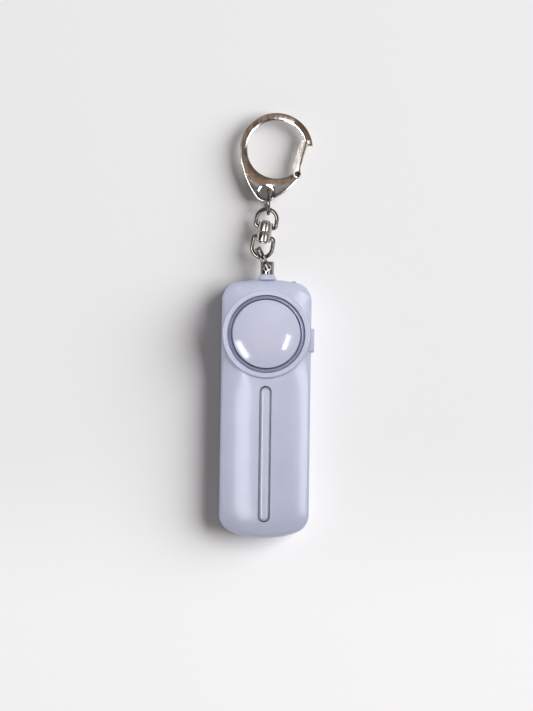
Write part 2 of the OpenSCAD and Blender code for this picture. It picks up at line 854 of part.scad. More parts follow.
module pull_pin() {
    tip_y = socket_in_y;
    color(steel) difference() {
        translate([0, 0, pin_z]) rotate([-90, 0, 0]) rotate_extrude() polygon([
            [0, tip_y],
            [pin_d / 2 - pin_chamfer, tip_y],
            [pin_d / 2, tip_y + pin_chamfer],
            [pin_d / 2, collar_y],
            [pin_neck_d / 2, collar_y],
            [pin_neck_d / 2, head_y],
            [pin_head_d / 2, head_y],
            [pin_head_d / 2, head_y + pin_head_l - pin_chamfer],
            [pin_head_d / 2 - pin_chamfer, head_y + pin_head_l],
            [0, head_y + pin_head_l]
        ]);
        translate([eye[0], eye[1], pin_z - pin_head_d]) cylinder(d = pin_eye_d, h = 2 * pin_head_d);
    }
}

module pin_collar() {
    foot_edge = 0.5;
    color(lilac) translate([0, 0, pin_z]) rotate([-90, 0, 0]) rotate_extrude() polygon([
        [pin_neck_d / 2, collar_y],
        [collar_foot_d / 2, collar_y],
        [collar_foot_d / 2, collar_y + foot_edge],
        [collar_top_d / 2, head_y],
        [pin_neck_d / 2, head_y]
    ]);
}

// Where the split ring's wire is after an angle: along the lower turn, up the jog, along the upper turn
function split_rise(a) =
    let (t = min(max((a - (360 - split_jog)) / split_jog, 0), 1))
        split_pitch * (t * t * (3 - 2 * t) - 0.5);

function split_point(a) = [split_r * cos(a), split_r * sin(a), split_rise(a)];

function split_section(a) = [
    for (i = [0:split_sides - 1]) let (b = -360 * i / split_sides, r = split_wire / 2)
        split_point(a) + r * [cos(b) * cos(a), cos(b) * sin(a), sin(b)]
];

split_angles = [for (i = [0:split_steps]) split_end_gap + split_sweep * i / split_steps];

// Least gap between the two turns, measured on points of the wire at least half a turn apart
split_gap = min([
    for (a = split_angles, b = split_angles)
        if (b - a > 180) norm(split_point(a) - split_point(b)) - split_wire
]);
echo(split_ring_least_gap = split_gap);

module split_ring() {
    color(steel) translate(split_middle) rotate([0, 0, split_turn]) rotate([0, 90, 0])
        rotate([0, 0, 100]) skin([for (a = split_angles) split_section(a)]);
}

module on_swivel() {
    translate(swivel_foot) rotate([0, 0, -swivel_turn]) children();
}

// Half of a bail on the right, with its round end at y = 0 and its foot in a barrel at y = foot_y
module half_bail(foot_y) {
    translate([0, bail_r, 0]) rotate([0, 0, -90]) rotate_extrude(angle = 90)
        translate([bail_r, 0]) circle(d = bail_wire);
    translate([bail_r, 0, 0]) rod_y(bail_wire, bail_r, foot_y - elbow_r);
    translate([bail_r - elbow_r, foot_y - elbow_r, 0]) rotate_extrude(angle = 90)
        translate([elbow_r, 0]) circle(d = bail_wire);
    translate([0, foot_y, 0]) rod_x(bail_wire, barrel_d / 2 - trunnion_depth, bail_r - elbow_r);
}

module bail(foot_y) {
    half_bail(foot_y);
    mirror([1, 0, 0]) half_bail(foot_y);
}

module barrel(bore_d) {
    r = barrel_d / 2;
    difference() {
        rotate([-90, 0, 0]) rotate_extrude() polygon([
            [bore_d / 2, 0],
            [r - barrel_chamfer, 0],
            [r, barrel_chamfer],
            [r, barrel_h - barrel_chamfer],
            [r - barrel_chamfer, barrel_h],
            [bore_d / 2, barrel_h]
        ]);
        for (side = [0, 1]) mirror([side, 0, 0])
            translate([0, barrel_h / 2, 0]) rod_x(bail_wire, r - trunnion_depth, barrel_d);
    }
}

module lower_bail() {
    color(steel) on_swivel() bail(lower_barrel_y + barrel_h / 2);
}

module lower_barrel() {
    color(steel) on_swivel() translate([0, lower_barrel_y, 0]) barrel(rivet_d);
}

module swivel_rivet() {
    foot_y = lower_barrel_y - rivet_head_t;
    cap_y = upper_barrel_y + barrel_h + running;
    color(steel) on_swivel() {
        rod_y(rivet_head_d, foot_y, lower_barrel_y);
        rod_y(rivet_d, foot_y, cap_y + rivet_head_t / 2);
        rod_y(rivet_head_d, cap_y, cap_y + rivet_head_t);
    }
}

module upper_barrel() {
    color(steel) on_swivel() translate([0, upper_barrel_y, 0]) barrel(rivet_d + 2 * running);
}

module upper_bail() {
    color(steel) on_swivel() translate([0, swivel_l, 0]) mirror([0, 1, 0])
        bail(swivel_l - upper_barrel_y - barrel_h / 2);
}

module jump_ring() {
    color(steel) translate(jump_middle) rotate([0, 90, 0]) rotate([0, 0, jump_cut / 2])
        rotate_extrude(angle = 360 - jump_cut) translate([jump_r, 0]) circle(d = jump_wire);
}

module on_hook() {
    translate([hook_middle[0], hook_middle[1], hook_z]) children();
}

module on_gate() {
    translate([gate_pivot[0], gate_pivot[1], 0]) rotate([0, 0, -gate_turn]) children();
}

// Outline of the plate between the bow and the eye, drawn in by a distance
module plate_outline(inset) {
    intersection() {
        translate(left_edge_c) circle(left_edge_r - inset);
        translate(right_edge_c) circle(right_edge_r - inset);
        translate([-bow_outer_r, tip_y]) square([2 * bow_outer_r, -tip_y]);
    }
    for (p = [eye_place, tip_place]) translate(p) circle(tip_r - inset);
}

// Sector from the ear at the gate's pivot round to the nose, which the gate closes
module mouth_outline() {
    reach = 2 * bow_outer_r;
    polygon([
        [0, 0],
        reach * [cos(ear_turn), sin(ear_turn)],
        reach * [1, 0],
        reach * [cos(nose_turn), sin(nose_turn)]
    ]);
}

// Bow with bevelled edges
module bow() {
    rotate([0, 0, nose_turn]) rotate_extrude(angle = 360 + ear_turn - nose_turn) polygon([
        [bow_r, bow_bevel - hook_t / 2],
        [bow_r + bow_bevel, -hook_t / 2],
        [bow_outer_r - bow_bevel, -hook_t / 2],
        [bow_outer_r, bow_bevel - hook_t / 2],
        [bow_outer_r, hook_t / 2 - bow_bevel],
        [bow_outer_r - bow_bevel, hook_t / 2],
        [bow_r + bow_bevel, hook_t / 2],
        [bow_r, hook_t / 2 - bow_bevel]
    ]);
}

module hook_body() {
    color(steel) on_hook() {
        difference() {
            union() {
                bow();
                translate([0, 0, -hook_t / 2]) linear_extrude(hook_t) difference() {
                    plate_outline(0);
                    circle(bow_r + bow_bevel);
                    mouth_outline();
                }
            }
            translate([eye_place[0], eye_place[1], -hook_t]) cylinder(d = eye_d, h = 2 * hook_t);
            // Recess beside the eye on both faces
            for (side = [0, 1]) mirror([0, 0, side])
                translate([0, 0, hook_t / 2 - recess]) linear_extrude(recess + over) difference() {
                    plate_outline(rim_w);
                    translate(crescent_c) circle(crescent_r);
                    translate(eye_place) circle(d = eye_d + 2 * eye_rim);
                }
            // Room for the foot and the tip of the gate
            on_gate() {
                translate([0, 0, -hook_t]) cylinder(r = tongue_r + gate_clear, h = 2 * hook_t);
                translate([-gate_w, gate_l - gate_w, -hook_t])
                    cube([gate_w * 3 / 2 + gate_clear / 2, 3 * gate_w / 2 + gate_clear, 2 * hook_t]);
            }
        }
        // Tongue that the gate turns on
        on_gate() difference() {
            union() {
                translate([0, 0, -tongue_t / 2]) cylinder(r = tongue_r - gate_clear / 2, h = tongue_t);
                rotate([0, 0, gate_turn]) translate([0, 0, -tongue_t / 2]) linear_extrude(tongue_t)
                    polygon([[-0.9, 0.5], [-2.2, -1.4], [-0.9, -2.4], [0.7, -0.6]]);
            }
            translate([0, 0, -hook_t]) cylinder(d = gate_pin_d + 2 * running, h = 2 * hook_t);
        }
    }
}

module hook_gate() {
    slot_t = tongue_t + 4 * running;
    color(steel) on_hook() on_gate() difference() {
        translate([0, 0, -gate_t / 2]) linear_extrude(gate_t) {
            circle(d = gate_w);
            polygon([
                [0, 0],
                [gate_w / 2, 0],
                [gate_w / 2, gate_l],
                [-gate_w / 2, gate_l],
                [-gate_w / 2 - gate_heel[0], gate_heel[1]]
            ]);
            translate([0, gate_l]) circle(d = gate_w);
        }
        translate([-gate_w, -gate_w, -slot_t / 2])
            cube([2 * gate_w, gate_w + tongue_r + gate_clear, slot_t]);
        translate([gate_web - gate_w / 2, 0, -slot_t / 2]) cube([gate_w, gate_l - gate_solid_tip, slot_t]);
        translate([0, 0, -hook_t]) cylinder(d = gate_pin_d + 2 * running, h = 2 * hook_t);
    }
}

module gate_pin() {
    color(steel) on_hook() on_gate() {
        translate([0, 0, -gate_t / 2 - running]) cylinder(d = gate_pin_d, h = gate_t + 2 * running);
        for (side = [0, 1]) mirror([0, 0, side])
            translate([0, 0, gate_t / 2 + running]) cylinder(d = gate_pin_head_d, h = gate_pin_head_t);
    }
}

module gate_spring() {
    spring_l = gate_l - gate_solid_tip - tongue_r - gate_clear - 2 * fit;
    color(steel) on_hook() on_gate()
        translate([gate_web - gate_w / 2, tongue_r + gate_clear + fit, -tongue_t / 2 + fit])
            cube([spring_t, spring_l, tongue_t - 2 * fit]);
}

front_shell();
rear_shell();
siren_dome();
light_ring();
light_strip();
side_button();
torch_led();
siren_holder();
piezo_plate();
piezo_ceramic();
circuit_board();
driver_chip();
boost_coil();
small_parts();
strip_leds();
ring_leds();
side_switch();
switch_plunger();
pin_socket();
pin_contacts();
coin_cells();
cell_holder();
cell_contacts();
case_screws();
pull_pin();
pin_collar();
split_ring();
lower_bail();
lower_barrel();
swivel_rivet();
upper_barrel();
upper_bail();
jump_ring();
hook_body();
hook_gate();
gate_pin();
gate_spring();
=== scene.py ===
import math

import bmesh
import bpy
import numpy as np
from mathutils import Matrix, Vector


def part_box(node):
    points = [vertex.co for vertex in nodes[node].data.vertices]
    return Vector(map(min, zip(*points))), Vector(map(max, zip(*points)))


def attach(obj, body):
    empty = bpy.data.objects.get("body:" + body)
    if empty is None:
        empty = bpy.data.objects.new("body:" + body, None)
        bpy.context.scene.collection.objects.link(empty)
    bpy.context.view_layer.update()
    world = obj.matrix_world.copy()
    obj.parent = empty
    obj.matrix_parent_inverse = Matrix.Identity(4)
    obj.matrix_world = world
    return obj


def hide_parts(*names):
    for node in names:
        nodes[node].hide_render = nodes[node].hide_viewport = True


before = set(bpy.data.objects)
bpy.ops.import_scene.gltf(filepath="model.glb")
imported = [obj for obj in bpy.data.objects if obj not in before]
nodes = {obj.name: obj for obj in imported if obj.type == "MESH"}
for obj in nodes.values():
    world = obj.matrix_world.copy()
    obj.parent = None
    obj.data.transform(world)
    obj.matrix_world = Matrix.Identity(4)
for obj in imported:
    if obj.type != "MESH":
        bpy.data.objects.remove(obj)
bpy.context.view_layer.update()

mm = 0.001
weld = 1e-7  # vertices nearer than this, in metres, become one
over = 2.0  # how far a cutter stands past a face
facets = {  # sides of the round pieces
    "circle": 32, "gatePin": 40, "hole": 48, "lamp": 48, "rivet": 56, "eye": 64, "pin": 72, "barrel": 72,
    "siren": 160, "crescent": 160, "turret": 192,
}
print("stage: frame loaded")


# Meshes

def makeObject(name, verts, faces, edges=()):
    mesh = bpy.data.meshes.new(name)
    mesh.from_pydata([tuple(float(c) * mm for c in v) for v in verts], list(edges), faces)
    mesh.validate()
    obj = bpy.data.objects.new(name, mesh)
    bpy.context.scene.collection.objects.link(obj)
    return obj


def evaluated(obj):
    # the object's result as a plain mesh, with no modifier left
    graph = bpy.context.evaluated_depsgraph_get()
    graph.update()
    mesh = bpy.data.meshes.new_from_object(obj.evaluated_get(graph), depsgraph=graph)
    plain = bpy.data.objects.new(obj.name, mesh)
    name = obj.name
    bpy.data.objects.remove(obj)
    plain.name = name
    mesh.name = name
    bpy.context.scene.collection.objects.link(plain)
    return plain


def outwards(obj, slivers=False):
    # welds the mesh and turns its faces outwards, on request without slivers
    work = bmesh.new()
    work.from_mesh(obj.data)
    bmesh.ops.remove_doubles(work, verts=work.verts, dist=weld)
    if slivers:
        bmesh.ops.dissolve_degenerate(work, dist=weld, edges=work.edges)
    bmesh.ops.recalc_face_normals(work, faces=work.faces)
    work.to_mesh(obj.data)
    work.free()
    return obj


def smooth(obj, angle):
    for face in obj.data.polygons:
        face.use_smooth = True
    obj.data.set_sharp_from_angle(angle=math.radians(angle))
    return obj


def paint(obj, mat):
    obj.data.materials.clear()
    obj.data.materials.append(mat)
    return obj


def boolean(obj, other, operation):
    mod = obj.modifiers.new("cut", "BOOLEAN")
    mod.operation = operation
    mod.solver = "EXACT"
    mod.material_mode = "TRANSFER"
    mod.object = other
    result = evaluated(obj)
    bpy.data.objects.remove(other)
    return result


def place(obj, matrix):
    obj.data.transform(matrix)
    return obj


def shift(x=0, y=0, z=0):
    return Matrix.Translation(Vector((x, y, z)) * mm)


def turn(degrees, axis):
    return Matrix.Rotation(math.radians(degrees), 4, axis)


lying = turn(-90, "X")  # a turned piece's axis from Z to Y
sideways = Matrix(((0, 0, 1, 0), (1, 0, 0, 0), (0, 1, 0, 0), (0, 0, 0, 1)))  # X to Y, Y to Z, Z to X


def arc(middle, r, start, end, steps):
    angles = np.radians(np.linspace(start, end, steps + 1))
    return [(middle[0] + r * math.cos(a), middle[1] + r * math.sin(a)) for a in angles]


def circle(r):
    return arc((0, 0), r, 0, 360, facets["circle"])[:-1]


def stadium(width, low, high, steps=16):
    r = width / 2
    return arc((0, high - r), r, 0, 180, steps) + arc((0, low + r), r, 180, 360, steps)


def between(a, b, t):
    return (a[0] + (b[0] - a[0]) * t, a[1] + (b[1] - a[1]) * t)


def rounded(points, radii, steps=5):
    # polygon with its corners rounded by the given radii
    out = []
    count = len(points)
    for i, (point, r) in enumerate(zip(points, radii)):
        p = Vector(point)
        before = Vector(points[i - 1]) - p
        after = Vector(points[(i + 1) % count]) - p
        if r <= 0:
            out.append(tuple(p))
            continue
        half = before.angle(after) / 2
        reach = r / math.tan(half)
        a = p + before.normalized() * reach
        b = p + after.normalized() * reach
        middle = p + (before.normalized() + after.normalized()).normalized() * (r / math.sin(half))
        start = math.atan2(a.y - middle.y, a.x - middle.x)
        sweep = math.atan2(b.y - middle.y, b.x - middle.x) - start
        sweep = (sweep + math.pi) % (2 * math.pi) - math.pi
        for k in range(steps + 1):
            t = start + sweep * k / steps
            out.append((middle.x + r * math.cos(t), middle.y + r * math.sin(t)))
    return out


def lathe(name, profile, segments):
    # closed (radius, height) profile turned about Z; an edge on the axis makes no face
    verts, faces = [], []
    count = len(profile)
    for s in range(segments):
        a = 2 * math.pi * s / segments
        verts += [(r * math.cos(a), r * math.sin(a), h) for r, h in profile]
        t = (s + 1) % segments
        for i in range(count):
            j = (i + 1) % count
            if max(profile[i][0], profile[j][0]) > 1e-6:
                faces.append((s * count + i, s * count + j, t * count + j, t * count + i))
    return outwards(makeObject(name, verts, faces), slivers=True)


def rod(name, r, low, high, segments):
    return lathe(name, [(0, low), (r, low), (r, high), (0, high)], segments)


def plate(name, loops, low, high, bevel, bevelSteps):
    # flat shape from an outline and its holes, with rounded edges
    data = bpy.data.curves.new(name, "CURVE")
    data.dimensions = "2D"
    data.fill_mode = "BOTH"
    data.extrude = ((high - low) / 2 - bevel) * mm
    data.bevel_depth = bevel * mm
    data.bevel_resolution = bevelSteps
    data.offset = -bevel * mm
    for loop in loops:
        spline = data.splines.new("POLY")
        spline.points.add(len(loop) - 1)
        for point, (x, y) in zip(spline.points, loop):
            point.co = (x * mm, y * mm, 0, 1)
        spline.use_cyclic_u = True
    obj = bpy.data.objects.new(name, data)
    bpy.context.scene.collection.objects.link(obj)
    obj = evaluated(obj)
    place(obj, shift(z=(low + high) / 2))
    return outwards(obj)


def stacked(name, rings):
    # closed mesh through rings of equal count
    count = len(rings[0])
    verts = [v for ring in rings for v in ring]
    faces = [tuple(range(count)), tuple(range(len(verts) - count, len(verts)))]
    for k in range(len(rings) - 1):
        for i in range(count):
            j = (i + 1) % count
            faces.append((k * count + i, k * count + j, (k + 1) * count + j, (k + 1) * count + i))
    return makeObject(name, verts, faces)


def swept(name, sections):
    return outwards(stacked(name, sections))


def prism(name, loop, low, high):
    return swept(name, [[(x, y, z) for x, y in loop] for z in (low, high)])


def block(name, x, y, half):
    return prism(name, [(x[0], y[0]), (x[1], y[0]), (x[1], y[1]), (x[0], y[1])], -half, half)


def flaredPrism(name, loop, wide, low, high, flare, steps=4):
    # prism that opens to the wide loop in a rounded flare
    rings = [[(x, y, z) for x, y in loop] for z in (low, high - flare)]
    for k in range(1, steps + 1):
        t = k / steps
        blend = 1 - math.sqrt(1 - t * t)
        rings.append([(*between(a, b, blend), high - flare + flare * t) for a, b in zip(loop, wide)])
    rings.append([(x, y, high + over) for x, y in wide])
    return swept(name, rings)


# Node trees: one wrapper for shader and geometry sockets

class Sock:
    def __init__(self, tree, socket):
        self.tree = tree
        self.socket = socket

    def node(self, kind, settings=(), **values):
        # inputs by index as i0, i1 and so on, or by name with underscores for spaces
        made = self.tree.nodes.new(kind)
        for label, value in dict(settings).items():
            setattr(made, label, value)
        for label, value in values.items():
            byIndex = label[0] == "i" and label[1:].isdigit()
            join(self.tree, value, made.inputs[int(label[1:]) if byIndex else label.replace("_", " ")])
        return made

    def maths(self, operation, *others):
        values = {"i%d" % i: v for i, v in enumerate((self,) + others)}
        return Sock(self.tree, self.node("ShaderNodeMath", {"operation": operation}, **values).outputs[0])

    def __add__(self, other):
        return self.maths("ADD", other)

    def __sub__(self, other):
        return self.maths("SUBTRACT", other)

    def __mul__(self, other):
        return self.maths("MULTIPLY", other)

    def __truediv__(self, other):
        return self.maths("DIVIDE", other)

    def __pow__(self, other):
        return self.maths("POWER", other)

    def __neg__(self):
        return self.maths("MULTIPLY", -1.0)

    __radd__ = __add__
    __rmul__ = __mul__

    def __rsub__(self, other):
        return (-self).maths("ADD", other)

    def __rtruediv__(self, other):
        return self.maths("POWER", -1.0).maths("MULTIPLY", other)

    def least(self, other):
        return self.maths("MINIMUM", other)

    def most(self, other):
        return self.maths("MAXIMUM", other)

    def root(self):
        return self.most(0.0).maths("SQRT")

    def ramp(self, low, high, out=(0.0, 1.0)):
        style = {"interpolation_type": "SMOOTHSTEP"}
        made = self.node("ShaderNodeMapRange", style, i0=self, i1=low, i2=high, i3=out[0], i4=out[1])
        return Sock(self.tree, made.outputs[0])

    def mix(self, a, b):
        made = self.node("ShaderNodeMix", {"data_type": "RGBA"}, i0=self, i6=a, i7=b)
        return Sock(self.tree, made.outputs[2])


def join(tree, value, target):
    if isinstance(value, Sock):
        tree.links.new(value.socket, target)
    elif isinstance(value, bpy.types.NodeSocket):
        tree.links.new(value, target)
    else:
        target.default_value = value


def linear(r, g, b):
    parts = [c / 255 for c in (r, g, b)]
    parts = [c / 12.92 if c <= 0.04045 else ((c + 0.055) / 1.055) ** 2.4 for c in parts]
    return (*parts, 1.0)


def material(name, colour, rough, metal=0.0, coat=0.0, **fixed):
    # a Principled material with its fixed values set on its own sockets
    mat = bpy.data.materials.new(name)
    mat.use_nodes = True
    tree = mat.node_tree
    shader = tree.nodes["Principled BSDF"]
    shader.inputs["Base Color"].default_value = colour
    shader.inputs["Roughness"].default_value = rough
    shader.inputs["Metallic"].default_value = metal
    shader.inputs["Coat Weight"].default_value = coat
    for label, value in fixed.items():
        shader.inputs[label.replace("_", " ")].default_value = value
    coords = tree.nodes.new("ShaderNodeTexCoord")
    return mat, tree, shader, Sock(tree, coords.outputs["Object"])


def noise(at, scale, detail, stretch=None):
    source = at
    if stretch:
        mapped = at.node("ShaderNodeMapping", Vector=at, Scale=stretch)
        source = Sock(at.tree, mapped.outputs[0])
    made = at.node("ShaderNodeTexNoise", Vector=source, Scale=scale, Detail=detail)
    return Sock(at.tree, made.outputs[0])


def bump(at, shader, height, distance, strength):
    made = at.node("ShaderNodeBump", Height=height, Distance=distance, Strength=strength)
    join(at.tree, made.outputs[0], shader.inputs["Normal"])


plasticRule = {
    "coatRough": 0.12, "index": 1.47, "cloud": (90.0, 4.0), "cloudSpan": (0.3, 0.7),
    "grainDetail": 2.0, "grainSpan": (0.3, 0.7), "roughSpan": (0.9, 1.12), "strength": 0.5,
}
metalRule = {
    "cloud": (260.0, 4.0), "cloudSpan": (0.35, 0.7), "scratch": (900.0, 5.0), "scratchSpan": (0.3, 0.75),
    "scratchHeight": 0.3, "pit": (1500.0, 3.0), "pitSpan": (0.35, 0.65), "roughSpan": (0.75, 1.4),
    "depth": 0.02, "strength": 0.4,
}


def plastic(name, colour, darker, rough, coat, grain, depth):
    rule = plasticRule
    colour, darker = linear(*colour), linear(*darker)
    fixed = {"Coat_Roughness": rule["coatRough"], "IOR": rule["index"]}
    mat, tree, shader, at = material(name, colour, rough, coat=coat, **fixed)
    cloud = noise(at, *rule["cloud"]).ramp(*rule["cloudSpan"])
    join(tree, cloud.mix(darker, colour), shader.inputs["Base Color"])
    specks = noise(at, grain, rule["grainDetail"])
    span = [rough * share for share in rule["roughSpan"]]
    join(tree, specks.ramp(*rule["grainSpan"], span), shader.inputs["Roughness"])
    bump(at, shader, specks, depth * mm, rule["strength"])
    return mat


def metal(name, colour, darker, rough, streak=(1.0, 1.0, 1.0), pits=0.0):
    rule = metalRule
    colour, darker = linear(*colour), linear(*darker)
    mat, tree, shader, at = material(name, colour, rough, metal=1.0)
    cloud = noise(at, *rule["cloud"]).ramp(*rule["cloudSpan"])
    join(tree, cloud.mix(darker, colour), shader.inputs["Base Color"])
    scratch = noise(at, *rule["scratch"], streak)
    span = [rough * share for share in rule["roughSpan"]]
    join(tree, scratch.ramp(*rule["scratchSpan"], span), shader.inputs["Roughness"])
    height = scratch * rule["scratchHeight"]
    if pits:
        height = height + noise(at, *rule["pit"]).ramp(*rule["pitSpan"]) * pits
    bump(at, shader, height, rule["depth"] * mm, rule["strength"])
    return mat


# colours in sRGB, then roughness
caseMat = plastic("lilacSatin", (191, 195, 217), (187, 191, 213), 0.36, coat=0.2, grain=2600.0, depth=0.006)
domeMat = plastic("lilacGloss", (197, 200, 221), (194, 197, 218), 0.10, coat=0.9, grain=400.0, depth=0.002)
stripMat = plastic("milkyBar", (200, 205, 221), (194, 199, 216), 0.24, coat=0.5, grain=1200.0, depth=0.003)
# the strip's base, seen in the gap round the bar, is painted darker than the bar: painted shade in that
# groove, on top of the shade its real depth gives
grooveShadeMat = plastic("paintedGrooveShade", (150, 154, 178), (134, 138, 162), 0.4, coat=0.2, grain=1200.0, depth=0.003)
ringMat = plastic("blueGuide", (132, 140, 171), (114, 123, 155), 0.22, coat=0.6, grain=900.0, depth=0.003)
lampMat = plastic("clearLamp", (196, 202, 218), (180, 188, 208), 0.08, coat=1.0, grain=500.0, depth=0.001)
steelMat = metal("brightNickel", (156, 150, 141), (124, 118, 110), 0.11)
hookMat = metal("hookNickel", (214, 207, 199), (196, 188, 180), 0.17, streak=(1.0, 0.25, 1.0))
castMat = metal("castRecess", (150, 146, 142), (96, 92, 90), 0.45, pits=1.0)
torchMat = plastic("darkLens", (112, 104, 98), (92, 84, 78), 0.08, coat=1.0, grain=500.0, depth=0.001)
blackMat = plastic("blackMoulding", (30, 30, 32), (22, 22, 24), 0.5, coat=0.0, grain=1500.0, depth=0.004)
boardMat = plastic("solderMask", (22, 84, 52), (16, 66, 42), 0.35, coat=0.3, grain=1200.0, depth=0.003)
brassMat = metal("contactBrass", (212, 178, 104), (186, 150, 84), 0.25)
ceramicMat = plastic("ceramic", (216, 210, 196), (200, 194, 180), 0.6, coat=0.0, grain=1600.0, depth=0.003)
cellMat = metal("cellSteel", (206, 206, 202), (186, 186, 182), 0.3, streak=(1.0, 8.0, 1.0))
print("stage: materials made")


# Geometry node trees

def newTree(name, kinds):
    tree = bpy.data.node_groups.new(name, "GeometryNodeTree")
    for way in ("INPUT", "OUTPUT"):
        tree.interface.new_socket("Geometry", in_out=way, socket_type="NodeSocketGeometry")
    for kind, labels in kinds.items():
        for label in labels:
            tree.interface.new_socket(label, in_out="INPUT", socket_type="NodeSocket" + kind)
    start = tree.nodes.new("NodeGroupInput")
    end = tree.nodes.new("NodeGroupOutput")
    return tree, {s.name: Sock(tree, s) for s in start.outputs if s.name}, end.inputs[0]


def closeTree(geometry, mat, end):
    done = geometry.node("GeometryNodeRealizeInstances", i0=geometry)
    painted = geometry.node("GeometryNodeSetMaterial", i0=done.outputs[0], Material=mat)
    join(geometry.tree, painted.outputs[0], end)


def grown(obj, tree, values):
    # runs a tree on the object with its named inputs, and keeps the plain mesh
    mod = obj.modifiers.new(tree.name, "NODES")
    mod.node_group = tree
    for item in tree.interface.items_tree:
        if item.in_out == "INPUT" and item.name in values:
            mod[item.identifier] = values[item.name]
    return evaluated(obj)


def attribute(geometry, name):
    made = geometry.node("GeometryNodeInputNamedAttribute", {"data_type": "FLOAT"}, Name=name)
    return Sock(geometry.tree, made.outputs[0])


def shellTree():
    # lifts flat rings by how far they lie inside the outline: a round shoulder that runs into a crowned face
    tree, given, end = newTree("shellRule", {
        "Float": (
            "Shoulder Width", "Shoulder Height", "Top", "Rise", "Crown Drop", "Crown Reach", "Crown Power",
            "Foot Start", "Foot Radius", "Flare Start", "Flare Width", "Flare Height", "Blend", "Direction",
        ),
        "Vector": ("Turret",),
        "Material": ("Material",),
    })
    geometry = given["Geometry"]
    inset, drop = attribute(geometry, "inset"), attribute(geometry, "drop")
    position = geometry.node("GeometryNodeInputPosition").outputs[0]
    parts = geometry.node("ShaderNodeSeparateXYZ", i0=position)
    x, y = Sock(tree, parts.outputs[0]), Sock(tree, parts.outputs[1])
    width, height = given["Shoulder Width"], given["Shoulder Height"]
    radius = (width * width + height * height) / (height * 2.0)
    across = width - inset.least(width)
    shoulder = (radius * radius - across * across).root() - radius + given["Rise"]
    crown = given["Crown Drop"] * (x.maths("ABSOLUTE") / given["Crown Reach"]) ** given["Crown Power"]
    beyond = (given["Foot Start"] - y).most(0.0)
    away = geometry.node("ShaderNodeVectorMath", {"operation": "DISTANCE"}, i0=position, i1=given["Turret"])
    near = ((given["Flare Start"] - Sock(tree, away.outputs["Value"])) / given["Flare Width"]).most(0.0)
    face = near * near * given["Flare Height"] - crown - beyond * beyond / (given["Foot Radius"] * 2.0)
    lift = given["Top"] + given["Direction"] * shoulder.maths("SMOOTH_MIN", face, given["Blend"]) + drop
    offset = geometry.node("ShaderNodeCombineXYZ", Z=lift)
    moved = geometry.node("GeometryNodeSetPosition", i0=geometry, Offset=offset.outputs[0])
    closeTree(Sock(tree, moved.outputs[0]), given["Material"], end)
    return tree


def wireTree():
    # round wire along a path
    tree, given, end = newTree("wireSweep", {
        "Float": ("Wire Radius",), "Int": ("Sides",), "Material": ("Material",),
    })
    geometry = given["Geometry"]
    path = geometry.node("GeometryNodeMeshToCurve", i0=geometry)
    section = geometry.node(
        "GeometryNodeCurvePrimitiveCircle", {"mode": "RADIUS"},
        Resolution=given["Sides"], Radius=given["Wire Radius"],
    )
    tube = geometry.node(
        "GeometryNodeCurveToMesh",
        Curve=path.outputs[0], Profile_Curve=section.outputs[0], Fill_Caps=True,
    )
    closeTree(Sock(tree, tube.outputs[0]), given["Material"], end)
    return tree


shellRule = shellTree()
wireSweep = wireTree()
wireAngle = 50  # wires stay smooth up to this angle


def wire(name, points, radius, mat, sides=20):
    path = makeObject(name, points, [], [(i, i + 1) for i in range(len(points) - 1)])
    values = {"Wire Radius": radius * mm, "Sides": sides, "Material": mat}
    return smooth(outwards(grown(path, wireSweep, values)), wireAngle)


def finishPiece(obj, node, body, mat=None, angle=36):
    # paints and shades a piece, hides the node that it stands for and ties the piece to its body
    if mat:
        paint(obj, mat)
    smooth(obj, angle)
    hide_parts(node)
    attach(obj, body)
    return obj


# Housing: these sizes also place its openings

case = {
    "width": 31.4, "length": 90.4, "height": 12.6, "topArc": 56.0, "footArc": 32.0, "corner": 6.6,
    "leastCorner": 0.3, "shoulderWidth": 6.2, "shoulderHeight": 4.6, "rise": 0.15, "crownDrop": 3.5,
    "crownPower": 2.5, "footStart": -33.8, "footRoll": 24.0, "flareWidth": 9.0, "flareHeight": 0.8,
    "blend": 0.5, "parting": 3.0, "wall": 1.6, "lap": 1.0, "faceStep": 0.8, "faceRings": 11,
    "shoulderSteps": 22, "cornerSteps": 18, "endSteps": 36, "sideSteps": 40, "footCuts": 24, "angle": 34,
    "innerHeight": 3.255, "innerSteps": 10, "innerRings": (1.5, 4.0, 7.0), "holePlay": 0.06, "holeDepth": 9.0,
}
back = {
    "round": 2.2, "roundSteps": 12, "rings": (2.0, 5.0, 9.0, 12.0), "seam": 0.06,
    "wellOver": 1.0, "screwX": 10.5, "screwEdge": 1.95, "wellMouth": 2.6, "wellRadius": 2.1,
    "coneDepth": 0.3, "wellDepth": 1.9, "wellRound": 0.4,
}
siren = {
    "y": 26.2, "rimOuter": 15.45, "rimInner": 13.55, "rimWall": 1.5, "rimFoot": 8.5, "top": 13.8,
    "rimRound": 0.7, "mouthRound": 0.5, "mouth": 3.0, "boreRadius": 14.3, "boreLow": 6.6, "boreHigh": 11.0,
    "domeRadius": 11.9, "domeEdge": 12.9, "domeTop": 15.0, "domeThick": 1.3, "domeInset": 0.25,
    "domeRound": 0.35, "domeFoot": 0.2, "domeSteps": 40,
}
guide = {
    "inner": 12.3, "top": 12.6, "tilt": 0.1, "play": 0.1, "round": 0.2, "flange": (9.2, 14.2),
    "flangeHeight": (10.2, 11.0),
}
slot = {
    "width": 4.2, "low": -39.6, "high": 8.0, "flare": 0.2, "cutLow": 10.0, "groove": 1.2, "play": 0.1,
    "baseLow": 10.4, "baseRound": 0.05, "barWidth": 3.2, "barLow": 10.6, "barSink": 0.15, "barRound": 0.9,
}
key = {
    "y": 24.1, "z": 8.3, "length": 8.4, "height": 3.0, "round": 1.2, "proud": 1.1, "depth": 2.8, "bevel": 0.5,
    "play": 0.1, "cutBack": 3.0, "cutLength": 6.0,
}
torch = {
    "x": 9.2, "z": 6.5, "diameter": 3.0, "end": 44.84, "back": 40.24, "holeLow": 38.7, "flange": 0.1,
    "flangeHeight": 0.8,
}
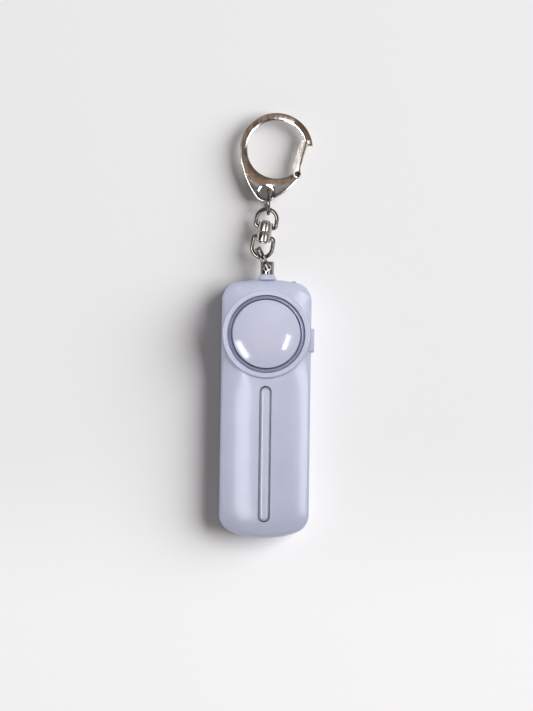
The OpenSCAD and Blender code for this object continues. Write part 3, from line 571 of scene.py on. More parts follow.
pin = {
    "z": 6.8, "shank": 2.4, "head": 4.7, "headLow": 47.1, "headHigh": 51.6, "tip": 39.2, "neck": 3.0,
    "tipRound": 0.4, "headRound": (0.2, 0.4), "eyeY": 49.4, "eye": 2.7, "foot": 45.2, "holeLow": 40.0,
    "collarFoot": 6.4, "collarTop": 4.9, "collarStep": 0.6, "collarRound": (0.15, 0.5, 0.3),
    "collarPlay": 0.02,
}


def outline(inset):
    half, top = case["width"] / 2, case["length"] / 2
    w = half - inset
    r = max(case["corner"] - inset, case["leastCorner"])
    topR, footR = case["topArc"] - inset, case["footArc"] - inset
    topC, footC = top - case["topArc"], case["footArc"] - top
    topK = topC + math.sqrt((topR - r) ** 2 - (w - r) ** 2)
    footK = footC - math.sqrt((footR - r) ** 2 - (w - r) ** 2)
    topA = math.degrees(math.atan2(topK - topC, w - r))
    footA = math.degrees(math.atan2(footK - footC, w - r))
    n, m = case["cornerSteps"], case["endSteps"]
    side = np.linspace(0, 1, case["sideSteps"] + 1)[1:-1]
    right = [(w, footK + (topK - footK) * t) for t in side]
    left = [(-w, topK + (footK - topK) * t) for t in side]
    return (
        arc((w - r, footK), r, footA, 0, n) + right + arc((w - r, topK), r, 0, topA, n)
        + arc((0, topC), topR, topA, 180 - topA, m)[1:-1]
        + arc((r - w, topK), r, 180 - topA, 180, n) + left + arc((r - w, footK), r, 180, 180 - footA, n)
        + arc((0, footC), footR, 180 - footA, 360 + footA, m)[1:-1]
    )


def shellSolid(name, base, insets, sideZ, rule, mat):
    # flat rings with their inset as an attribute, lifted by the shell rule; the first ring is the free edge
    rings = [[(x, y, 0) for x, y in outline(base + u)] for u in [0.0] + insets]
    obj = stacked(name, rings)
    edgeZ = rule["top"] - rule["direction"] * (rule["shoulderHeight"] - rule["rise"])
    levels = {"inset": [0.0] + insets, "drop": [sideZ - edgeZ] + [0.0] * len(insets)}
    for label, values in levels.items():
        data = obj.data.attributes.new(label, "FLOAT", "POINT").data
        data.foreach_set("value", [v * mm for v in values for _ in rings[0]])
    lengths = {
        "Shoulder Width": rule["shoulderWidth"], "Shoulder Height": rule["shoulderHeight"],
        "Top": rule["top"], "Rise": rule["rise"], "Crown Drop": rule["crownDrop"],
        "Crown Reach": case["width"] / 2, "Foot Start": rule["footStart"], "Foot Radius": rule["footRoll"],
        "Flare Start": siren["rimOuter"] + rule["flareWidth"], "Flare Width": rule["flareWidth"],
        "Flare Height": rule["flareHeight"], "Blend": rule["blend"],
    }
    values = {label: length * mm for label, length in lengths.items()}
    values["Crown Power"] = rule["crownPower"]
    values["Direction"] = float(rule["direction"])
    values["Turret"] = (0.0, siren["y"] * mm, 0.0)
    values["Material"] = mat
    return outwards(grown(obj, shellRule, values))


def shoulderInsets(width, height, steps, beyond):
    radius = (width ** 2 + height ** 2) / (2 * height)
    start = math.acos(width / radius)
    angles = np.linspace(start, math.pi / 2, steps + 1)
    return [max(width - radius * math.cos(a), 0.0) for a in angles] + [width + b for b in beyond]


def rolled(obj):
    # bends a straight piece down with the foot of the case
    mesh = bmesh.new()
    mesh.from_mesh(obj.data)
    start, radius = case["footStart"] * mm, case["footRoll"] * mm
    for y in np.linspace(-0.5 * case["length"] * mm, start, case["footCuts"]):
        everything = mesh.verts[:] + mesh.edges[:] + mesh.faces[:]
        bmesh.ops.bisect_plane(mesh, geom=everything, plane_co=(0, y, 0), plane_no=(0, 1, 0))
    for v in mesh.verts:
        v.co.z -= max(start - v.co.y, 0) ** 2 / (2 * radius)
    mesh.to_mesh(obj.data)
    mesh.free()
    return obj


def atSiren(name, profile, segments):
    return place(lathe(name, profile, segments), shift(y=siren["y"]))


def keyLoop(play):
    x, y = key["length"] / 2 + play, key["height"] / 2 + play
    return rounded([(-x, -y), (x, -y), (x, y), (-x, y)], [key["round"]] * 4, 8)


def makeFront():
    wall, wide = case["wall"], case["shoulderWidth"]
    rings = [round(case["faceStep"] * (k + 1), 3) for k in range(case["faceRings"])]
    insets = shoulderInsets(wide, case["shoulderHeight"], case["shoulderSteps"], rings)
    rule = dict(case, top=case["height"], direction=1)
    obj = shellSolid("caseFront", 0.0, insets, case["parting"], rule, caseMat)

    inner, outer, low, top = siren["rimInner"], siren["rimOuter"], siren["rimFoot"], siren["top"]
    rim = rounded(
        [(inner - siren["rimWall"], low), (outer, low), (outer, top), (inner - siren["rimWall"], top)],
        [0, 0, siren["rimRound"], 0], 8,
    )
    obj = boolean(obj, atSiren("turret", rim, facets["turret"]), "UNION")

    wide, high = wide - wall, case["innerHeight"]
    insets = shoulderInsets(wide, high, case["innerSteps"], case["innerRings"])
    rule = dict(case, top=case["height"] - wall, direction=1, shoulderWidth=wide, shoulderHeight=high)
    cavity = shellSolid("caseInner", wall, insets, case["parting"] - case["lap"], rule, caseMat)
    obj = boolean(obj, cavity, "DIFFERENCE")

    r, low, high, mouth = siren["boreRadius"], siren["boreLow"], siren["boreHigh"], siren["mouth"]
    bore = rounded(
        [(0, low), (r, low), (r, high), (inner, high), (inner, top), (inner + mouth, top + mouth),
         (0, top + mouth)],
        [0, 0, 0, 0, siren["mouthRound"], 0, 0], 6,
    )
    obj = boolean(obj, atSiren("bore", bore, facets["turret"]), "DIFFERENCE")

    flare = slot["flare"]
    loop = stadium(slot["width"], slot["low"], slot["high"])
    wideLoop = stadium(slot["width"] + 2 * flare, slot["low"] - flare, slot["high"] + flare)
    slotCut = flaredPrism("slotCut", loop, wideLoop, slot["cutLow"], case["height"], flare)
    obj = boolean(obj, rolled(slotCut), "DIFFERENCE")

    keyCut = prism("keyCut", keyLoop(key["play"]), 0.0, key["cutLength"])
    place(keyCut, shift(case["width"] / 2 - key["cutBack"], key["y"], key["z"]) @ sideways)
    obj = boolean(obj, keyCut, "DIFFERENCE")

    holes = (
        (torch["diameter"], torch["x"], torch["holeLow"], torch["z"]),
        (pin["shank"], 0.0, pin["holeLow"], pin["z"]),
    )
    for width, x, y, z in holes:
        hole = rod("hole", width / 2 + case["holePlay"], 0, case["holeDepth"], facets["hole"])
        obj = boolean(obj, place(hole, shift(x, y, z) @ lying), "DIFFERENCE")
    return outwards(obj)


flatRule = {
    "rise": 0.0, "crownDrop": 0.0, "crownPower": 2.0, "footStart": -1000.0, "footRoll": 1000.0,
    "flareWidth": 1.0, "flareHeight": 0.0, "blend": 0.0,
}


def makeRear():
    r, wall = back["round"], case["wall"]
    insets = shoulderInsets(r, r, back["roundSteps"], back["rings"])
    rule = dict(flatRule, top=0.0, direction=-1, shoulderWidth=r, shoulderHeight=r)
    obj = shellSolid("caseRear", 0.0, insets, case["parting"] - back["seam"], rule, caseMat)
    inner = prism("rearInner", outline(wall), wall, case["parting"] + over)
    obj = boolean(obj, inner, "DIFFERENCE")
    mouth, radius, start, depth = back["wellMouth"], back["wellRadius"], -back["wellOver"], back["wellDepth"]
    profile = rounded(
        [(0, start), (mouth, start), (radius, back["coneDepth"]), (radius, depth), (0, depth)],
        [0, 0, back["wellRound"], 0, 0],
    )
    low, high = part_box("case_screws")
    for x in (-back["screwX"], back["screwX"]):
        for y in (low[1] / mm + back["screwEdge"], high[1] / mm - back["screwEdge"]):
            obj = boolean(obj, place(lathe("well", profile, facets["hole"]), shift(x, y, 0)), "DIFFERENCE")
    return outwards(obj)


front = finishPiece(makeFront(), "front_shell", "housing", angle=case["angle"])
finishPiece(makeRear(), "rear_shell", "housing", angle=case["angle"])
print("stage: housing made")


# Siren, strip, key, torch

def makeDome():
    r, edge, top, thick = siren["domeRadius"], siren["domeEdge"], siren["domeTop"], siren["domeThick"]
    foot = siren["domeFoot"]
    sag = top - edge
    big = (r * r + sag * sag) / (2 * sag)
    angles = np.radians(np.linspace(0, math.degrees(math.asin(r / big)), siren["domeSteps"]))
    crown = [(big * math.sin(a), top - big + big * math.cos(a)) for a in angles]
    inner = [(max(x - siren["domeInset"], 0), z - thick) for x, z in reversed(crown)]
    skirt = [crown[-2], (r, edge), (r, edge - thick + foot), inner[0]]
    skirt = rounded(skirt, [0, siren["domeRound"], foot, 0])
    return atSiren("sirenDome", crown[:-2] + skirt[1:-1] + inner, facets["siren"])


def makeRing():
    inner, outer, top = guide["inner"], siren["rimInner"] - guide["play"], guide["top"]
    (baseIn, baseOut), (low, high) = guide["flange"], guide["flangeHeight"]
    profile = rounded(
        [(baseIn, low), (baseOut, low), (baseOut, high), (outer, high), (outer, top),
         (inner, top - guide["tilt"]), (inner, high), (baseIn, high)],
        [0, 0, 0, 0, guide["round"], guide["round"], 0, 0], 4,
    )
    return atSiren("lightRing", profile, facets["siren"])


def makeStrip():
    play, top = slot["play"], case["height"]
    gap = (slot["width"] - slot["barWidth"]) / 2
    loop = stadium(slot["width"] - 2 * play, slot["low"] + play, slot["high"] - play)
    base = plate("lightStrip", [loop], slot["baseLow"], top - slot["groove"], slot["baseRound"], 1)
    loop = stadium(slot["barWidth"], slot["low"] + gap, slot["high"] - gap)
    bar = plate("stripBar", [loop], slot["barLow"], top - slot["barSink"], slot["barRound"], 8)
    # the base below the bar carries the painted groove shade, the bar its own milky colour
    return boolean(rolled(paint(base, grooveShadeMat)), rolled(paint(bar, stripMat)), "UNION")


def makeKey():
    obj = plate("sideKey", [keyLoop(0)], 0.0, key["depth"], key["bevel"], 5)
    x = case["width"] / 2 + key["proud"] - key["depth"]
    return place(obj, shift(x, key["y"], key["z"]) @ sideways)


def makeTorch():
    r, flange, step = torch["diameter"] / 2, torch["flange"], torch["flangeHeight"]
    nose = arc((0, torch["end"] - torch["back"] - r), r, 0, 90, 14)
    profile = [(0, 0), (r + flange, 0), (r + flange, step), (r, step)] + nose
    obj = lathe("torchLamp", profile, facets["lamp"])
    return place(obj, shift(torch["x"], torch["back"], torch["z"]) @ lying)


dome = finishPiece(makeDome(), "siren_dome", "housing", domeMat)
finishPiece(makeRing(), "light_ring", "housing", ringMat)
finishPiece(makeStrip(), "light_strip", "housing")
finishPiece(makeKey(), "side_button", "side_key", caseMat)
finishPiece(makeTorch(), "torch_led", "housing", torchMat)


# Pull pin

def onPin(name, profile):
    return place(lathe(name, profile, facets["pin"]), shift(z=pin["z"]) @ lying)


def makePin():
    h, s, n = pin["head"] / 2, pin["shank"] / 2, pin["neck"] / 2
    tip, foot, low, high = pin["tip"], pin["foot"], pin["headLow"], pin["headHigh"]
    profile = rounded(
        [(0, tip), (s, tip), (s, foot), (n, foot), (n, low), (h, low), (h, high), (0, high)],
        [0, pin["tipRound"], 0, 0, 0, *pin["headRound"], 0], 4,
    )
    reach = pin["head"] / 2 + over
    hole = rod("pinEye", pin["eye"] / 2, -reach, reach, facets["hole"])
    place(hole, shift(0, pin["eyeY"], pin["z"]))
    return outwards(boolean(onPin("pullPin", profile), hole, "DIFFERENCE"))


def makeCollar():
    f, t, n = pin["collarFoot"] / 2, pin["collarTop"] / 2, pin["neck"] / 2 + pin["collarPlay"]
    low, high = pin["foot"], pin["headLow"]
    profile = [(n, low), (f, low), (f, low + pin["collarStep"]), (t, high), (n, high)]
    return onPin("pinCollar", rounded(profile, [0, *pin["collarRound"], 0], 6))


finishPiece(makePin(), "pull_pin", "pin", steelMat)
finishPiece(makeCollar(), "pin_collar", "pin", caseMat)
print("stage: siren, strip, key, torch and pin made")


# Split ring, swivel and jump ring

ring = {
    "outer": 8.85, "wire": 0.9, "pitch": 1.34, "turn": 27.0, "hang": 0.35, "jog": 50.0, "endGap": 6.0,
    "start": 100.0, "steps": 220, "sides": 14,
}
swivel = {
    "foot": (-2.45, 53.1, 5.0), "turn": 8.5, "length": 17.1, "wire": 1.4, "half": 3.6, "elbow": 1.0,
    "elbowSteps": 8, "bowSteps": 40,
    "barrel": 5.2, "barrelHeight": 3.4, "barrelRound": 0.4, "boreRound": 0.08, "low": 5.5, "gap": 0.12,
    "depth": 0.8, "tightPlay": 0.02, "freePlay": 0.1, "rivet": 1.8, "rivetHead": 3.0, "headHeight": 0.6,
    "headLow": 0.58, "headPlay": 0.05, "headRound": (0.3, 0.4), "headEdge": 0.05,
}
link = {"outer": 9.6, "wire": 1.3, "middle": (0.1, 72.56217, 4.85), "cut": 4.0, "steps": 120}
upperLow = swivel["low"] + swivel["barrelHeight"] + swivel["gap"]
swivelPlace = shift(*swivel["foot"]) @ turn(-swivel["turn"], "Z")
flip = shift(y=swivel["length"]) @ Matrix.Scale(-1, 4, (0, 1, 0))


def makeSplitRing():
    r = (ring["outer"] - ring["wire"]) / 2
    lean = math.radians(ring["turn"])
    eye = Vector((0, pin["eyeY"], pin["z"]))
    middle = Vector((-math.sin(lean), math.cos(lean), 0)) * (r - ring["hang"]) + eye
    end = 720 - ring["jog"] - ring["endGap"]
    points = []
    for a in np.linspace(ring["endGap"], end, ring["steps"]):
        t = min(max((a - (360 - ring["jog"])) / ring["jog"], 0), 1)
        rise = ring["pitch"] * (t * t * (3 - 2 * t) - 0.5)
        points.append((r * math.cos(math.radians(a)), r * math.sin(math.radians(a)), rise))
    obj = wire("splitRing", points, ring["wire"] / 2, steelMat, ring["sides"])
    return place(obj, shift(*middle) @ turn(ring["turn"], "Z") @ turn(90, "Y") @ turn(ring["start"], "Z"))


def makeBail(name, low, matrix=Matrix()):
    # the feet stand in the middle of the barrel's height
    half, elbow = swivel["half"], swivel["elbow"]
    footY = low + swivel["barrelHeight"] / 2
    inner = swivel["barrel"] / 2 - swivel["depth"]
    right = [(inner, footY)] + arc((half - elbow, footY - elbow), elbow, 90, 0, swivel["elbowSteps"])
    bow = arc((0, half), half, 0, -180, swivel["bowSteps"])
    left = [(-x, y) for x, y in reversed(right)]
    obj = wire(name, [(x, y, 0) for x, y in right + bow + left], swivel["wire"] / 2, steelMat)
    return outwards(place(obj, swivelPlace @ matrix))


def makeBarrel(name, low, play):
    bore, r, h = (swivel["rivet"] + play) / 2, swivel["barrel"] / 2, swivel["barrelHeight"]
    small, large = swivel["boreRound"], swivel["barrelRound"]
    profile = rounded([(bore, 0), (r, 0), (r, h), (bore, h)], [small, large, large, small], 6)
    return place(lathe(name, profile, facets["barrel"]), swivelPlace @ shift(y=low) @ lying)


def makeRivet():
    r, head, thick = swivel["rivet"] / 2, swivel["rivetHead"] / 2, swivel["headHeight"]
    low = swivel["low"] - thick
    neck = low + swivel["headLow"]
    top = upperLow + swivel["barrelHeight"] + swivel["headPlay"]
    (lowRound, topRound), edge = swivel["headRound"], swivel["headEdge"]
    profile = rounded(
        [(0, low), (head, low), (head, neck), (r, neck), (r, top), (head, top), (head, top + thick),
         (0, top + thick)],
        [0, lowRound, edge, 0, 0, edge, topRound, 0],
    )
    return place(lathe("swivelRivet", profile, facets["rivet"]), swivelPlace @ lying)


def makeLink():
    r = (link["outer"] - link["wire"]) / 2
    angles = np.radians(np.linspace(link["cut"] / 2, 360 - link["cut"] / 2, link["steps"]))
    points = [(r * math.cos(a), r * math.sin(a), 0) for a in angles]
    obj = wire("jumpRing", points, link["wire"] / 2, steelMat)
    return place(obj, shift(*link["middle"]) @ turn(90, "Y"))


def finishMetal(obj, node, body, mat=None, angle=36):
    return finishPiece(obj, node, body, mat, angle)


finishMetal(makeSplitRing(), "split_ring", "ring", angle=wireAngle)
finishMetal(makeBail("lowerBail", swivel["low"]), "lower_bail", "swivel_lower", angle=wireAngle)
lowerBarrel = makeBarrel("lowerBarrel", swivel["low"], swivel["tightPlay"])
finishMetal(lowerBarrel, "lower_barrel", "swivel_lower", hookMat)
finishMetal(makeRivet(), "swivel_rivet", "swivel_lower", hookMat)
upperBarrel = makeBarrel("upperBarrel", upperLow, swivel["freePlay"])
finishMetal(upperBarrel, "upper_barrel", "swivel_upper", hookMat)
upperBail = makeBail("upperBail", swivel["length"] - upperLow - swivel["barrelHeight"], flip)
finishMetal(upperBail, "upper_bail", "swivel_upper", angle=wireAngle)
finishMetal(makeLink(), "jump_ring", "link", angle=wireAngle)
print("stage: chain made")


# Snap hook: places are given from the middle of its bow

hook = {
    "middle": (2.67, 91.11217), "z": 3.7, "thick": 3.0, "inner": 10.25, "outer": 12.8, "bevel": 0.35,
    "leftMiddle": (15.2, 0.0), "leftRadius": 28.0, "rightMiddle": (-11.1, 4.0), "rightRadius": 23.7,
    "eye": (-3.57, -15.1), "eyeRadius": 2.2, "tip": (-4.15, -14.87), "tipRadius": 3.6, "nose": 6.0,
    "noseLean": 9.0, "noseEnd": ((10.75, 2.95), (10.75, 1.25)), "pivot": (7.45, -8.65), "pivotRoom": 1.65,
    "pivotHole": 0.65, "gateTip": (9.6, 2.4), "bowSteps": 70, "innerSteps": 110, "notchSteps": 12,
    "rightSteps": 30, "leftSteps": 34, "tipSteps": 10, "eyeSteps": 14,
}
bowSlope = {
    "span": (14, 200), "steps": 94, "fadeIn": 14, "fadeOut": 22, "least": 0.04, "share": 0.45,
    "growFrom": 40, "growSpan": 60, "width": 1.0, "depth": 0.4,
}
bowFace = {
    "span": (2, 176), "steps": 88, "fadeOut": 60, "least": 0.02, "fall": 0.055, "inner": 0.6, "outer": 0.4,
    "over": 0.5,
}
rimGroove = {
    "span": (172, 199), "steps": 40, "fadeIn": 8, "least": 0.06, "half": 0.17, "steep": 1.5, "over": 0.02,
}
rimSlope = {
    "insets": (-0.3, 0.6), "slope": 0.22, "topY": -0.5, "pivotRoom": 1.4, "start": 0.15, "fadeIn": 14,
    "rightSteps": 24, "over": 0.5,
}
recess = {
    "depth": 0.55, "rim": 0.65, "lean": 0.3, "topY": -6.0, "eyeRim": 0.8, "crescent": 11.75,
    "crescentMiddle": (-1.9, -1.4), "rightSteps": 24,
}
sink = {"width": 0.65, "slope": 0.3}
tongue = {
    "radius": 1.12, "half": 0.85, "round": 0.05,
    "neck": ((-0.9, 0.5), (-2.2, -1.4), (-0.9, -2.4), (0.7, -0.6)),
}
gateForm = {
    "width": 2.6, "thick": 2.6, "bevel": 0.3, "footArc": (-90, 40, 10), "headArc": (-10, 180, 20),
    "waist": (0.55, 2.2), "heel": (0.9, 1.3),
    "heelCorners": ((0.05, 0.3), (0.25, 0.0)), "heelFoot": (-0.9, -0.94),
    "slope": ((-2.6, -0.68), (0.8, 0.17), (-2.6, 0.4)), "slopePast": 3.0, "slotHalf": 0.95,
    "slot": ((-4, 4), (-4, 1.7)), "channel": (-0.6, 3), "channelEnd": 2.6,
}
gatePin = {"end": 1.57, "headLow": 1.36, "head": 1.0, "shank": 0.6, "round": 0.12}
hookPlace = shift(*hook["middle"], hook["z"])
gateX, gateY = (tip - foot for tip, foot in zip(hook["gateTip"], hook["pivot"]))
gateTurn = math.degrees(math.atan2(gateX, gateY))
gateLength = math.dist(hook["gateTip"], hook["pivot"])
gatePlace = hookPlace @ shift(*hook["pivot"], 0) @ turn(-gateTurn, "Z")


def crossings(a, ra, b, rb):
    # the two points where circles meet
    d = math.dist(a, b)
    t = (ra * ra - rb * rb + d * d) / (2 * d)
    h = math.sqrt(max(ra * ra - t * t, 0))
    ux, uy = (b[0] - a[0]) / d, (b[1] - a[1]) / d
    return [(a[0] + ux * t - uy * h * s, a[1] + uy * t + ux * h * s) for s in (1, -1)]


def heading(middle, point):
    return math.degrees(math.atan2(point[1] - middle[1], point[0] - middle[0]))


def arcBetween(middle, r, start, end, steps, clockwise=False):
    a, b = heading(middle, start), heading(middle, end)
    while clockwise and b > a:
        b -= 360
    while not clockwise and b < a:
        b += 360
    return arc(middle, r, a, b, steps)


def plateEdge(inset, topY):
    # lower edge of the plate, from its left side round the tip to where the right side starts
    lm, rm, tip, eye = hook["leftMiddle"], hook["rightMiddle"], hook["tip"], hook["eye"]
    lr, rr, tr = hook["leftRadius"] - inset, hook["rightRadius"] - inset, hook["tipRadius"] - inset
    start = (lm[0] - math.sqrt(lr ** 2 - (topY - lm[1]) ** 2), topY)
    reach = tr / math.dist(tip, lm)
    touch = (tip[0] + (tip[0] - lm[0]) * reach, tip[1] + (tip[1] - lm[1]) * reach)
    meet = min(crossings(tip, tr, eye, tr), key=lambda p: p[1])
    right = max(crossings(eye, tr, rm, rr), key=lambda p: p[0])
    left = arcBetween(lm, lr, start, touch, hook["leftSteps"])
    end = arcBetween(tip, tr, touch, meet, hook["tipSteps"])
    return left + end[1:] + arcBetween(eye, tr, meet, right, hook["eyeSteps"])[1:]


def rightSide(inset, start, end, steps):
    return arcBetween(hook["rightMiddle"], hook["rightRadius"] - inset, start, end, steps)[1:]


def earPoint(inset, room):
    # where the right side meets the room round the pivot
    points = crossings(hook["rightMiddle"], hook["rightRadius"] - inset, hook["pivot"], room)
    return min(points, key=lambda p: p[1])


def hookOutline():
    middle, inner, pivot, room = (0, 0), hook["inner"], hook["pivot"], hook["pivotRoom"]
    bow = arc(middle, hook["outer"], hook["nose"], 180, hook["bowSteps"])
    lower = plateEdge(0, 0.0)
    earHigh = earPoint(0, room)
    right = rightSide(0, lower[-1], earHigh, hook["rightSteps"])
    earLow = min(crossings(middle, inner, pivot, room), key=lambda p: p[0])
    notch = arcBetween(pivot, room, earHigh, earLow, hook["notchSteps"], True)
    lean = math.radians(hook["nose"] + hook["noseLean"])
    noseInner = (inner * math.cos(lean), inner * math.sin(lean))
    innerArc = arcBetween(middle, inner, earLow, noseInner, hook["innerSteps"], True)
    return bow + lower[1:] + right + notch[1:] + innerArc[1:] + list(hook["noseEnd"])


def arcCut(name, middle, rule, section, side):
    # cutter along an arc, with its (radius, height) section at each angle
    sections = []
    for a in np.linspace(*rule["span"], rule["steps"]):
        c, n = math.cos(math.radians(a)), math.sin(math.radians(a))
        sections.append([(middle[0] + q * c, middle[1] + q * n, z * side) for q, z in section(a)])
    return swept(name, sections)


def slopeCut(side):
    # slope round the inner edge of the bow that fades out at both ends
    rule, r, top = bowSlope, hook["inner"], hook["thick"] / 2
    start, end = rule["span"]

    def section(a):
        fade = min((a - start) / rule["fadeIn"], (end - a) / rule["fadeOut"])
        fade = min(1, fade + rule["least"])
        grow = min(max((a - rule["growFrom"]) / rule["growSpan"], 0), 1)
        fade *= rule["share"] + (1 - rule["share"]) * grow
        w, d = rule["width"] * fade, rule["depth"] * fade  # the slope runs half as far past both its edges
        return [(r - w / 2, top - 1.5 * d), (r + 1.5 * w, top + d / 2), (r - w / 2, top + d / 2)]

    return arcCut("slopeCut", (0, 0), rule, section, side)


def bowCut(side):
    # lets the face of the bow fall off outwards, fading out on the left
    rule, top = bowFace, hook["thick"] / 2
    inner, outer = hook["inner"] + rule["inner"] * bowSlope["width"], hook["outer"] + rule["outer"]

    def section(a):
        fade = min(1, (rule["span"][1] - a) / rule["fadeOut"] + rule["least"])
        low = top - rule["fall"] * fade * (outer - inner)
        return [(inner, top), (outer, low), (outer, top + rule["over"]), (inner, top + rule["over"])]

    return arcCut("bowCut", (0, 0), rule, section, side)


def grooveCut(side):
    # fine groove that sets off the rim on the left
    rule, r, top = rimGroove, hook["leftRadius"] - recess["rim"], hook["thick"] / 2

    def section(a):
        g = rule["half"] * min(1, (a - rule["span"][0]) / rule["fadeIn"] + rule["least"])
        return [(r - g, top + rule["over"]), (r + g, top + rule["over"]), (r, top - rule["steep"] * g)]

    return arcCut("grooveCut", hook["leftMiddle"], rule, section, side)


def rimCut(side):
    # slopes the top of the rim outwards along the plate's lower edge
    top = hook["thick"] / 2
    high = (top + rimSlope["over"]) * side
    paths = []
    for inset in rimSlope["insets"]:
        lower = plateEdge(inset, rimSlope["topY"])
        end = earPoint(inset, rimSlope["pivotRoom"])
        paths.append(lower + rightSide(inset, lower[-1], end, rimSlope["rightSteps"]))
    sections = []
    for k, (out, inner) in enumerate(zip(*paths)):
        inner = between(out, inner, min(1, rimSlope["start"] + k / rimSlope["fadeIn"]))
        low = (top - rimSlope["slope"] * math.dist(out, inner)) * side
        sections.append([(*out, low), (*inner, top * side), (*inner, high), (*out, high)])
    return swept("rimCut", sections)


def atEye(name, profile, side):
    return place(lathe(name, [(q, z * side) for q, z in profile], facets["eye"]), shift(*hook["eye"], 0))


def recessCut(side):
    # the plate inside its rim, without the crescent and the eye's rim, with sloping walls
    top, lean, y = hook["thick"] / 2, recess["lean"], recess["topY"]
    low = top - recess["depth"]
    narrow, wide = recess["rim"] + lean / 2, recess["rim"] - lean / 2
    mx, my = hook["rightMiddle"]
    sections = []
    for z, inset in ((low, narrow), (top, wide), (top + 1, wide)):
        right = mx + math.sqrt((hook["rightRadius"] - inset) ** 2 - (y - my) ** 2)
        lower = plateEdge(inset, y)
        edge = lower + rightSide(inset, lower[-1], (right, y), recess["rightSteps"])
        sections.append([(*p, z * side) for p in edge])
    crescent = rod("crescent", recess["crescent"], -top - over, top + over, facets["crescent"])
    place(crescent, shift(*recess["crescentMiddle"], 0))
    cutter = boolean(swept("recessCut", sections), crescent, "DIFFERENCE")
    r = hook["eyeRadius"] + recess["eyeRim"]
    foot, head = r + lean / 2, r - lean / 2
    cone = [(0, low - 1), (foot, low - 1), (foot, low), (head, top), (head, top + over), (0, top + over)]
    return boolean(cutter, atEye("eyeBoss", cone, side), "DIFFERENCE")


def sinkCut(side):
    # countersink round the eye
    top, r, w = hook["thick"] / 2, hook["eyeRadius"], sink["width"]
    low = top - w * sink["slope"]
    return atEye("sinkCut", [(0, low), (r, low), (r + w, top), (r + w, top + 1), (0, top + 1)], side)


def pivotHole():
    return prism("pivotHole", circle(hook["pivotHole"]), -hook["thick"], hook["thick"])


def makeHook():
    half, t = hook["thick"] / 2, tongue["half"]
    eyeLoop = arc(hook["eye"], hook["eyeRadius"], 360, 0, facets["hole"])[:-1]
    obj = paint(plate("hookBody", [hookOutline(), eyeLoop], -half, half, hook["bevel"], 4), hookMat)
    cuts = (
        (recessCut, castMat), (bowCut, hookMat), (slopeCut, hookMat), (rimCut, hookMat), (sinkCut, hookMat),
        (grooveCut, castMat),
    )
    for side in (1, -1):
        for cut, mat in cuts:
            obj = boolean(obj, paint(cut(side), mat), "DIFFERENCE")
    disc = plate("tongue", [circle(tongue["radius"])], -t, t, tongue["round"], 1)
    neck = plate("tongueNeck", [tongue["neck"]], -t, t, tongue["round"], 1)
    piece = boolean(paint(disc, hookMat), paint(neck, hookMat), "UNION")
    piece = boolean(piece, pivotHole(), "DIFFERENCE")
    obj = boolean(obj, place(piece, shift(*hook["pivot"], 0)), "UNION")
    return outwards(place(obj, hookPlace))


def makeGate():
    w, t, half = gateForm["width"] / 2, gateForm["thick"] / 2, gateForm["slotHalf"]
    heelX, heelY = gateForm["heel"]
    foot, head = arc((0, 0), w, *gateForm["footArc"]), arc((0, gateLength), w, *gateForm["headArc"])
    heel = [(-w - heelX + dx, heelY + dy) for dx, dy in gateForm["heelCorners"]]
    loop = foot + [gateForm["waist"]] + head + heel + [gateForm["heelFoot"]]
    obj = plate("hookGate", [loop], -t, t, gateForm["bevel"], 4)
    past = gateForm["slopePast"]
    for side in (1, -1):
        ends = [[(x, y, (t + z) * side) for x, z in gateForm["slope"]] for y in (-past, gateLength + past)]
        obj = boolean(obj, swept("gateSlope", ends), "DIFFERENCE")
    channelY = (0.0, gateLength - gateForm["channelEnd"])
    obj = boolean(obj, block("tongueSlot", *gateForm["slot"], half), "DIFFERENCE")
    obj = boolean(obj, block("channel", gateForm["channel"], channelY, half), "DIFFERENCE")
    obj = boolean(obj, pivotHole(), "DIFFERENCE")
    return outwards(place(obj, gatePlace))


def makeGatePin():
    end, low, head, shank, r = (gatePin[label] for label in ("end", "headLow", "head", "shank", "round"))
    profile = rounded(
        [(0, -end), (head, -end), (head, -low), (shank, -low),
         (shank, low), (head, low), (head, end), (0, end)],
        [0, r, 0, 0, 0, 0, r, 0], 4,
    )
    return place(lathe("gatePin", profile, facets["gatePin"]), gatePlace)


finishMetal(makeHook(), "hook_body", "hook")
gate = finishMetal(makeGate(), "hook_gate", "gate", hookMat)
finishMetal(makeGatePin(), "gate_pin", "hook", steelMat)
print("stage: hook made")


# Carried-over nodes

carried = {
    "siren_holder": blackMat, "piezo_plate": brassMat, "piezo_ceramic": ceramicMat, "circuit_board": boardMat,
    "driver_chip": blackMat, "boost_coil": blackMat, "small_parts": ceramicMat, "strip_leds": lampMat,
    "ring_leds": lampMat, "side_switch": blackMat, "switch_plunger": ceramicMat, "pin_socket": blackMat,
    "pin_contacts": brassMat, "coin_cells": cellMat, "cell_holder": blackMat, "cell_contacts": brassMat,
    "case_screws": steelMat, "gate_spring": steelMat,
}
for name, mat in carried.items():
    data = nodes[name].data
    if not data.materials:
        data.materials.append(mat)
    for index in range(len(data.materials)):
        data.materials[index] = mat
print("stage: carried-over nodes painted")
